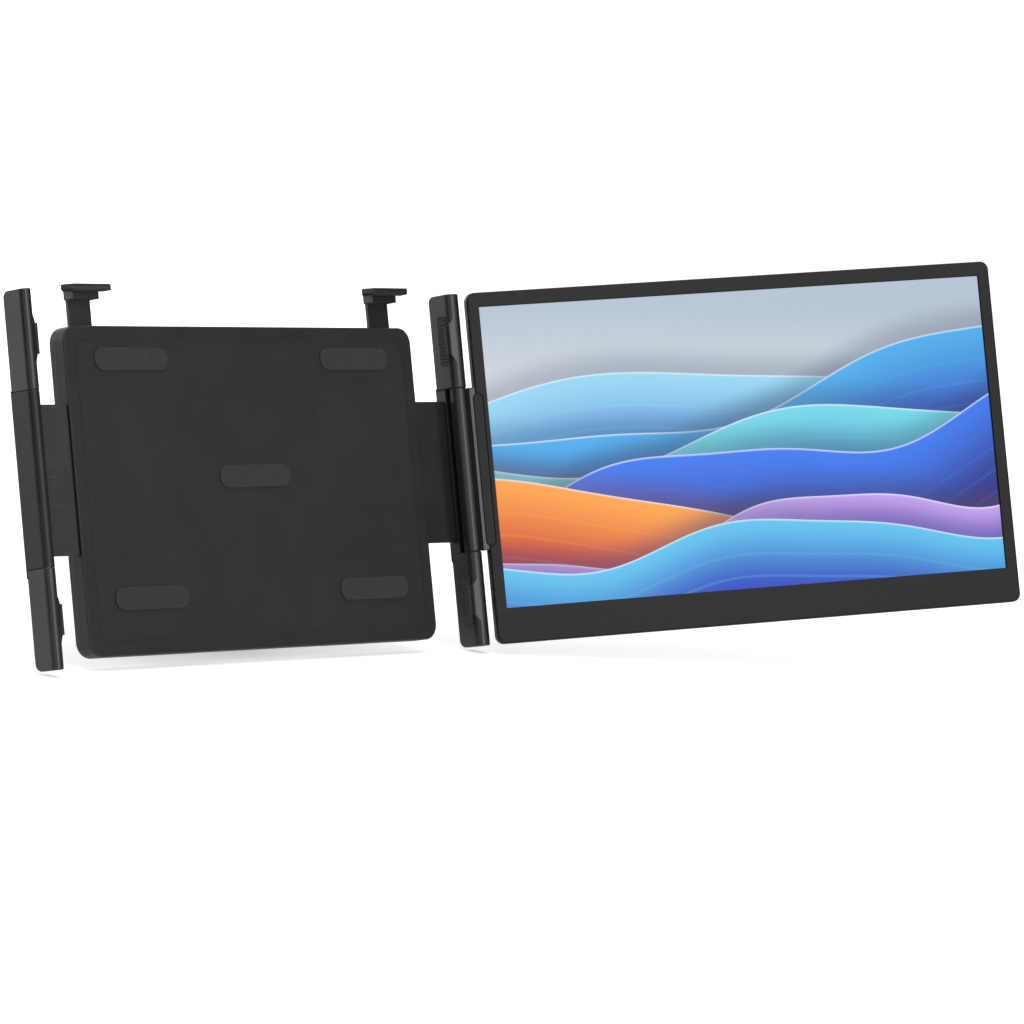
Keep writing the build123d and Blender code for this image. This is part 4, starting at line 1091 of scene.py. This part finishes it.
@dataclass
class Finishes:
    """Every shared finish, made once."""

    lid: Place
    screen: Place
    joint_gap: float = 0.3  # between the sections of a bar

    def __post_init__(self) -> None:
        """Makes the materials."""
        # the seam between bezel and rear cover, which gets a painted shadow line
        case_seam = (self.screen, self.screen.extent("front_bezel")[1][1])
        # height of the joints between a bar's sections, where painted shade is drawn
        middle = self.lid.extent("left_bar_cover")[1][2] + self.joint_gap / 2
        plastic, metal = MouldedPlastic, AnodisedMetal
        finishes = {
            Look.SHELL: plastic("shell plastic", (0.0105, 0.011, 0.012), 0.5, 0.6, 0.03),
            Look.BAR: metal(
                "bar skin", (0.010, 0.0102, 0.011), 0.32, 0.12, joint_lines=(self.lid, middle)
            ),
            Look.SCREEN: plastic(
                "case plastic",
                (0.007, 0.0073, 0.0077),
                grain_mm=0.35,
                grain_depth_mm=0.015,
                specular=0.2,
                seam=case_seam,
            ),
            Look.RUBBER: SoftRubber("rubber"),
            Look.ARM: metal(
                "arm skin", (0.05, 0.052, 0.056), 0.34, 0.8, rub=Vector((0.03, 1.0, 1.0))
            ),
            Look.STEEL: BrushedSteel("bare steel"),
            Look.SCREW: metal("black screws", (0.03, 0.03, 0.032), 0.28, 0.8),
            Look.SLIDE: plastic("grey acetal", (0.28, 0.28, 0.29), 0.4),
            Look.GUIDE: plastic("light guide", (0.75, 0.77, 0.80), 0.3, 0.3, 0.005),
            Look.BOARD: CircuitBoard("circuit board"),
            Look.CHIP: plastic("chip packages", (0.012, 0.012, 0.012)),
            Look.SOCKET: BrushedSteel("socket shells", (0.62, 0.62, 0.62), 0.25),
            Look.BUSH: BrushedSteel("bush bronze", (0.50, 0.34, 0.15), 0.35),
            Look.KEY: plastic("key plastic", (0.014, 0.014, 0.015), 0.36, 0.3, 0.01),
        }
        self.by_look = {look: finish.material() for look, finish in finishes.items()}

    def dress_by_slot(self) -> None:
        """Dresses every node with the finish of its slot in the record."""
        for part in FRAME["record"]["subparts"]:
            look = Look(part["material_slot"])
            if look in self.by_look:
                dress(part["node"], self.by_look[look])


@dataclass
class BackPanel:
    """The bracket's panel: its shells with their grooves, and its five rubber strips."""

    finishes: Finishes
    strip_length: float = 60.0
    strip_width: float = 14.0
    groove_in: float = 9.0
    groove_corner: float = 7.0
    front_grey: float = 0.011
    # painted light: the rear shell is lighter than the front's plastic to stand in for light on its shaded side
    rear_painted_light_grey: float = 0.018
    tint: Colour = (0.96, 1.0, 1.07)  # times a grey

    def build(self) -> None:
        """Dresses the shells and makes the strips."""
        self.dress_shells()
        self.make_strips()

    def dress_shells(self) -> None:
        """Gives both shells a groove near their outline and a pebbled field inside it, with painted shade along
        the groove and seam; the rear shell's grey is painted light.
        """
        place = self.finishes.lid
        seam = (place, place.extent("panel_front_shell")[1][1])
        shells = {"panel_front_shell": self.front_grey, "panel_rear_shell": self.rear_painted_light_grey}
        for node, grey in shells.items():
            groove = Groove(place, *place.inset(node, self.groove_in), self.groove_corner)
            colour = scaled(self.tint, grey)
            name = node.replace("_", " ")
            plastic = MouldedPlastic(name, colour, 0.5, 0.6, 0.03, seam=seam, groove=groove)
            dress(node, plastic.material())

    def make_strips(self) -> None:
        """Makes the ribbed strips where the plain ones are."""
        place = self.finishes.lid
        low, high = place.extent("lid_strips")
        across, above = high[0] - self.strip_length / 2, high[2] - self.strip_width / 2
        pad = RibbedPad(self.strip_length, self.strip_width, high[1] - low[1])
        centres = [(0.0, 0.0)] + [(i * across, j * above) for i in (-1, 1) for j in (-1, 1)]
        grids = [pad.grid(centre, high[1]) for centre in centres]
        piece = make_piece("lid_pads", grids, place, self.finishes.by_look[Look.RUBBER])
        seat_piece(piece, "bracket", Look.RUBBER, "lid_strips")


@dataclass
class SideArm:
    """One telescopic arm with its bar: liners behind the lugs and screws in the bar's rear."""

    finishes: Finishes
    side: str
    head_radius: float = 2.3
    head_height: float = 1.2
    screws: int = 3
    wall: float = 0.85
    lip: float = 1.1
    wall_height: float = 31.0
    lip_height: float = 18.4

    def build(self) -> None:
        """Dresses the middle section, and makes the liners and the screw heads."""
        if self.side == "left":
            cover = MouldedPlastic("cover plastic", (0.006, 0.0062, 0.0065), 0.38)
            dress("left_bar_cover", cover.material())
        else:
            steel = AnodisedMetal("blackened steel", (0.006, 0.006, 0.006), 0.45, 0.3)
            dress("hinge_washers", steel.material())
        self.make_liners()
        self.make_screws()

    def replace(self, node: str, new_part: str, grids: list[np.ndarray], look: Look) -> None:
        """Makes a piece of this side from grids, in place of a node.

        Args:
            node: the node, without its side.
            new_part: the piece's name, without its side.
            grids: its closed grids.
            look: its finish.
        """
        finish = self.finishes.by_look[look]
        piece = make_piece(f"{self.side}_{new_part}", grids, self.finishes.lid, finish)
        seat_piece(piece, f"{self.side}_side", look, f"{self.side}_{node}")

    def make_liners(self) -> None:
        """Makes a ribbed wall and lip behind each lug, where the plain ones are."""
        low, high = self.finishes.lid.extent(f"{self.side}_grip_pads")
        bar, inward = (low[0], 1.0) if self.side == "left" else (high[0], -1.0)
        grids = []
        for middle in (low[2] + self.wall_height / 2, high[2] - self.wall_height / 2):
            wall, lip = (
                (middle - height / 2, middle + height / 2)
                for height in (self.wall_height, self.lip_height)
            )
            depth = (low[1] + self.lip, high[1])
            grids.append(RibbedLiner((bar, bar + inward * self.wall), depth, wall).grid())
            turned = RibbedLiner((low[1], low[1] + self.lip), (low[0], high[0]), lip).grid()
            grids.append(turned[..., [1, 0, 2]])
        self.replace("grip_pads", "grip_liners", grids, Look.RUBBER)

    def make_screws(self) -> None:
        """Makes the screw heads where the plain countersunk ones are."""
        low, high = self.finishes.lid.extent(f"{self.side}_arm_screws")
        middle, radius = (low[0] + high[0]) / 2, self.head_radius
        heights = np.linspace(low[2] + radius, high[2] - radius, self.screws)
        head = CrossHead(radius, self.head_height, dome=0.1, depth=0.7)
        grids = [head.grid((middle, z), high[1] - self.head_height) for z in heights]
        self.replace("arm_screws", "arm_screw_heads", grids, Look.SCREW)


@dataclass
class TopClips:
    """The two hooks over the lid's top edge."""

    colour: Colour = (0.007, 0.0072, 0.0076)

    def build(self) -> None:
        """Dresses the hooks with a smoother skin than the panel's."""
        skin = MouldedPlastic("clip plastic", self.colour, 0.34, 0.3, 0.01, specular=0.5)
        material = skin.material()
        for node in ("left_clip_hook", "right_clip_hook"):
            dress(node, material)


@dataclass
class RearLeg:
    """The leg behind the panel: its rubber foot has treads."""

    finishes: Finishes
    tread_pitch: float = 3.0

    def build(self) -> None:
        """Dresses the foot with ribbed rubber."""
        treads = SoftRubber("foot rubber", ribs=(self.finishes.lid, 0, self.tread_pitch))
        dress("leg_foot", treads.material())


@dataclass(frozen=True)
class KeySign:
    """The sign painted on a key: a ring with a line, a plus or a minus, in millimetres."""

    node: str
    place: Place
    half: float = 0.62
    paint: Colour = (0.55, 0.56, 0.58)
    plastic: Colour = (0.020, 0.020, 0.022)

    def mask(self, y: Signal, z: Signal) -> Signal:
        """Where the paint is, from strokes given as a half width and how far its edge fades.

        Args:
            y: back from the key's middle.
            z: up from the key's middle.

        Returns:
            1 on the sign.
        """
        if self.node == "power_button":
            ring = ((y * y + z * z).root() - self.half).stroke(0.13, 0.05)
            gap = abs(y).fade(0.16, 0.22).most(z.fade(0.1, 0.0))
            line = y.stroke(0.11, 0.04) * (z - 0.45).stroke(0.42, 0.06)
            return (ring * gap).most(line)
        bar = z.stroke(0.12, 0.04) * y.stroke(self.half, 0.06)
        post = y.stroke(0.12, 0.04) * z.stroke(self.half, 0.06)
        return bar.most(post) if self.node == "plus_button" else bar

    def material(self) -> bpy.types.Material:
        """The key's finish with its sign.

        Returns:
            Satin plastic with pale paint on the outer face only.
        """
        low, high = self.place.extent(self.node)
        _, back, up = (low + high) / 2
        graph = Graph.of_material(self.node.replace("_", " "))
        x, y, z = self.place.coordinates(graph)
        mark = self.mask(y - back, z - up) * x.fade(high[0] - 0.12, high[0] - 0.05)
        grain = graph.noise(0.3)
        return graph.finish(
            Base_Color=graph.mix(mark, self.plastic, self.paint),
            Roughness=0.34 + grain.sway(0.1),
            Normal=graph.bump(grain, 0.01),
        )


@dataclass
class Screen:
    """The second screen: its picture, the screws of its case, sockets and keys."""

    finishes: Finishes
    display_border: float = 2.95
    screw_radius: float = 1.85
    screw_height: float = 0.7
    screw_columns: int = 4
    rear_groove_in: float = 16.0
    rear_groove_corner: float = 6.0
    # painted light: the rear cover is lighter than the case's plastic to stand in for light on its shaded side
    rear_painted_light_colour: Colour = (0.013, 0.0135, 0.014)
    contact_pitch: float = 0.5
    contact_half: float = 0.11
    tongue_half: float = 0.4
    edge_soft: float = 0.04
    shell_steel: Colour = (0.62, 0.62, 0.62)
    tongue_black: Colour = (0.012, 0.012, 0.012)
    contact_gold: Colour = (0.75, 0.52, 0.18)

    def build(self) -> None:
        """Builds and dresses every part of the screen that needs more than its slot's finish."""
        place = self.finishes.screen
        display = place.inset("lcd_glass", self.display_border)
        dress("lcd_glass", WavePicture("lit picture", place, *display).material())
        self.dress_rear_cover()
        self.make_case_screws()
        self.dress_sockets()
        for node in ("power_button", "plus_button", "minus_button"):
            dress(node, KeySign(node, place).material())

    def dress_rear_cover(self) -> None:
        """Gives the rear cover a groove near its outline and a pebbled field inside it, with painted shade along
        the groove and seam, in a grey painted lighter as painted light.
        """
        place = self.finishes.screen
        corners = place.inset("rear_cover", self.rear_groove_in)
        plastic = MouldedPlastic(
            "rear cover plastic",
            self.rear_painted_light_colour,
            grain_mm=0.35,
            grain_depth_mm=0.015,
            seam=(place, place.extent("rear_cover")[0][1]),
            groove=Groove(place, *corners, self.rear_groove_corner),
        )
        dress("rear_cover", plastic.material())

    def make_case_screws(self) -> None:
        """Makes cross-head screws in the counterbores of the rear cover."""
        place, radius = self.finishes.screen, self.screw_radius
        low, high = place.extent("case_screws")
        columns = np.linspace(low[0] + radius, high[0] - radius, self.screw_columns)
        rows = (low[2] + radius, high[2] - radius)
        head = CrossHead(radius, self.screw_height, dome=0.15, depth=0.45)
        face = high[1] - self.screw_height
        grids = [head.grid((x, z), face) for x in columns for z in rows]
        black = self.finishes.by_look[Look.SCREW]
        piece = make_piece("case_screw_heads", grids, place, black)
        seat_piece(piece, "screen", Look.SCREW, "case_screws")

    def dress_sockets(self) -> None:
        """Gives the sockets a black tongue with gold contacts inside their steel shells."""
        place = self.finishes.screen
        low, high = place.extent("usb_c_ports")
        graph = Graph.of_material("sockets")
        _, back, up = place.coordinates(graph)
        tongue = (back - (low[1] + high[1]) / 2).stroke(self.tongue_half, self.edge_soft)
        inner = self.contact_half - self.edge_soft
        contact = up.repeat(self.contact_pitch).fade(self.contact_half, inner) * tongue
        colour = graph.mix(tongue, self.shell_steel, self.tongue_black)
        material = graph.finish(
            Base_Color=graph.mix(contact, colour, self.contact_gold),
            Roughness=0.3 + graph.noise(0.2).sway(0.1),
            Metallic=1 - tongue + contact,
        )
        for node in ("usb_c_ports", "mini_hdmi_port"):
            dress(node, material)


# ---- Studio ----


@dataclass(frozen=True)
class SoftBox:
    """A soft lamp seen from the object: where it stands and how large and bright it is."""

    name: str
    azimuth: float
    elevation: float
    distance: float
    width: float
    height: float
    power: float

    def light(self, target: Vector) -> None:
        """Adds the lamp.

        Args:
            target: the point that it faces.
        """
        data = bpy.data.lights.new(self.name, "AREA")
        data.shape, data.size, data.size_y = "RECTANGLE", self.width, self.height
        data.energy = self.power
        a, e = math.radians(self.azimuth), math.radians(self.elevation)
        towards = Vector((math.sin(a) * math.cos(e), -math.cos(a) * math.cos(e), math.sin(e)))
        turn = towards.to_track_quat("Z", "Y").to_matrix().to_4x4()
        lamp = add_object(self.name, data)
        lamp.matrix_world = Matrix.Translation(target + towards * self.distance) @ turn


def flat_mesh(name: str, corners: list[Vector], material: bpy.types.Material) -> bpy.types.Object:
    """Adds a flat piece of the studio.

    Args:
        name: its name.
        corners: its four corners in order.
        material: its finish.

    Returns:
        The object.
    """
    mesh = bpy.data.meshes.new(name)
    mesh.from_pydata([tuple(corner) for corner in corners], [], [(0, 1, 2, 3)])
    mesh.materials.append(material)
    return add_object(name, mesh)


@dataclass(frozen=True)
class Flag:
    """A black card that only reflections see, so that dark gloss gets its dark edges."""

    name: str
    azimuth: float
    distance: float
    width: float
    low: float
    high: float
    reach: float = 0.0

    def stand(self, foot: Vector) -> None:
        """Adds the card: upright, or lying away from the object if it has a reach.

        Args:
            foot: the point on the floor under the middle of the object.
        """
        a = math.radians(self.azimuth)
        away = Vector((math.sin(a), -math.cos(a), 0.0))
        side = Vector((math.cos(a), math.sin(a), 0.0)) * (self.width / 2)
        lower = foot + away * self.distance + Vector((0.0, 0.0, self.low))
        upper = foot + away * (self.distance + self.reach) + Vector((0.0, 0.0, self.high))
        corners = [lower - side, lower + side, upper + side, upper - side]
        graph = Graph.of_material(self.name)
        felt = graph.mix(graph.noise(3.0, 3.0), BLACK, (0.006, 0.006, 0.006))
        card = flat_mesh(self.name, corners, graph.finish(Base_Color=felt, Roughness=1.0))
        for ray in ("camera", "diffuse", "transmission", "shadow", "volume_scatter"):
            setattr(card, f"visible_{ray}", False)
        card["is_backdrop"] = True


@dataclass
class Studio:
    """A pale floor and background, soft lamps, dark cards and the camera."""

    image_pixels: int = 1024
    focal_pixels: float = 5249.16
    sensor: float = 36.0
    camera_at: tuple[float, float, float] = (-2.24555, -2.27207, 0.37835)
    yaw: float = 47.5
    pitch: float = 6.88
    roll: float = 5.74
    nearest: float = 0.05
    farthest: float = 300.0
    floor_size: float = 120.0
    floor_paint: tuple[Colour, Colour] = ((0.80, 0.80, 0.80), (0.82, 0.82, 0.82))
    floor_tooth_mm: float = 9.0
    floor_glow: float = 0.42
    floor_glow_far: float = 0.2  # more of it away from the object
    floor_glow_span: tuple[float, float] = (0.4, 2.5)  # metres from the object
    world_fill: float = 0.6
    lamps: tuple[SoftBox, ...] = (
        SoftBox("front box", -9.0, 19.0, 2.2, 0.75, 1.3, 14.0),
        SoftBox("rear left box", -132.0, 22.0, 2.2, 1.0, 1.2, 12.0),
        SoftBox("rear right box", 150.0, 40.0, 2.4, 1.2, 1.2, 10.0),
        SoftBox("rear low box", 163.0, 4.0, 2.6, 1.8, 0.9, 18.0),
        SoftBox("top box", -30.0, 78.0, 2.0, 1.6, 1.6, 16.0),
    )
    flags: tuple[Flag, ...] = (
        Flag("right card", 74.0, 1.3, 1.8, 0.0, 1.1),
        Flag("left card", -90.0, 1.3, 0.7, 0.0, 1.1),
        Flag("low card", 165.0, 0.12, 1.2, 0.002, 0.002, 1.3),
    )

    def build(self) -> None:
        """Builds the studio round the object."""
        low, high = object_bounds()
        centre = (low + high) / 2
        self.make_camera()
        self.make_floor(low.z)
        self.make_world()
        for lamp in self.lamps:
            lamp.light(centre)
        for flag in self.flags:
            flag.stand(Vector((centre.x, centre.y, low.z)))

    def make_camera(self) -> None:
        """Adds the camera from its place and its three turns."""
        yaw, pitch, roll = (math.radians(a) for a in (self.yaw, self.pitch, self.roll))
        ahead = Vector((math.sin(yaw), math.cos(yaw), 0.0))
        forward = ahead * math.cos(pitch) - Vector((0.0, 0.0, math.sin(pitch)))
        level = Vector((math.cos(yaw), -math.sin(yaw), 0.0))
        upright = level.cross(forward)
        right = level * math.cos(roll) + upright * math.sin(roll)
        up = upright * math.cos(roll) - level * math.sin(roll)
        data = bpy.data.cameras.new("camera")
        data.sensor_width = self.sensor
        data.lens = self.focal_pixels / self.image_pixels * self.sensor
        data.clip_start, data.clip_end = self.nearest, self.farthest
        camera = add_object("camera", data)
        turn = Matrix((right, up, -forward)).transposed().to_4x4()
        camera.matrix_world = Matrix.Translation(Vector(self.camera_at)) @ turn
        bpy.context.scene.camera = camera

    def make_floor(self, height: float) -> None:
        """Adds the floor, which shows near white and keeps the object's shadow.

        Args:
            height: the object's lowest point.
        """
        half = self.floor_size / 2
        ring = ((-1, -1), (1, -1), (1, 1), (-1, 1))
        corners = [Vector((i * half, j * half, height)) for i, j in ring]
        graph = Graph.of_material("floor paint")
        tooth = graph.mix(graph.noise(self.floor_tooth_mm, 4.0), *self.floor_paint)
        paint = graph.node("ShaderNodeBsdfDiffuse", None, {"Color": tooth})
        apart = graph.vector("LENGTH", graph.position())
        level = apart.fade(*self.floor_glow_span) * self.floor_glow_far + self.floor_glow
        white = {"Color": WHITE, "Strength": self.seen(graph) * level}
        glow = graph.node("ShaderNodeEmission", None, white)
        both = graph.node("ShaderNodeAddShader", None, {0: paint, 1: glow})
        graph.node("ShaderNodeOutputMaterial", None, {"Surface": both})
        floor = flat_mesh("floor", corners, graph.owner)
        floor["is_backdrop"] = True

    @staticmethod
    def seen(graph: Graph) -> Signal:
        """1 for what the camera sees, straight, mirrored or through glass, and 0 otherwise.

        Args:
            graph: the graph to add the nodes to.

        Returns:
            The largest of three Light Path outputs.
        """
        names = ("Is Camera Ray", "Is Glossy Ray", "Is Transmission Ray")
        rays = [graph.node("ShaderNodeLightPath", output=name) for name in names]
        return rays[0].most(rays[1]).most(rays[2])

    def make_world(self) -> None:
        """Makes the world white where it is seen, and a plain fill elsewhere."""
        world = bpy.data.worlds.new("studio")
        bpy.context.scene.world = world
        graph = Graph(world)
        strength = self.seen(graph) * (1 - self.world_fill) + self.world_fill
        inputs = {"Color": WHITE, "Strength": strength}
        back = graph.node("ShaderNodeBackground", None, inputs)
        graph.node("ShaderNodeOutputWorld", None, {"Surface": back})
        bpy.context.scene.view_settings.view_transform = "Standard"


def main() -> None:
    """Builds the scene."""
    finishes = Finishes(lid_place(), screen_place())
    finishes.dress_by_slot()
    for part in (
        BackPanel(finishes),
        SideArm(finishes, "left"),
        SideArm(finishes, "right"),
        TopClips(),
        RearLeg(finishes),
        Screen(finishes),
    ):
        part.build()
    Studio().build()


if __name__ == "__main__":
    logging.basicConfig(level=logging.INFO, format="%(message)s")
    main()
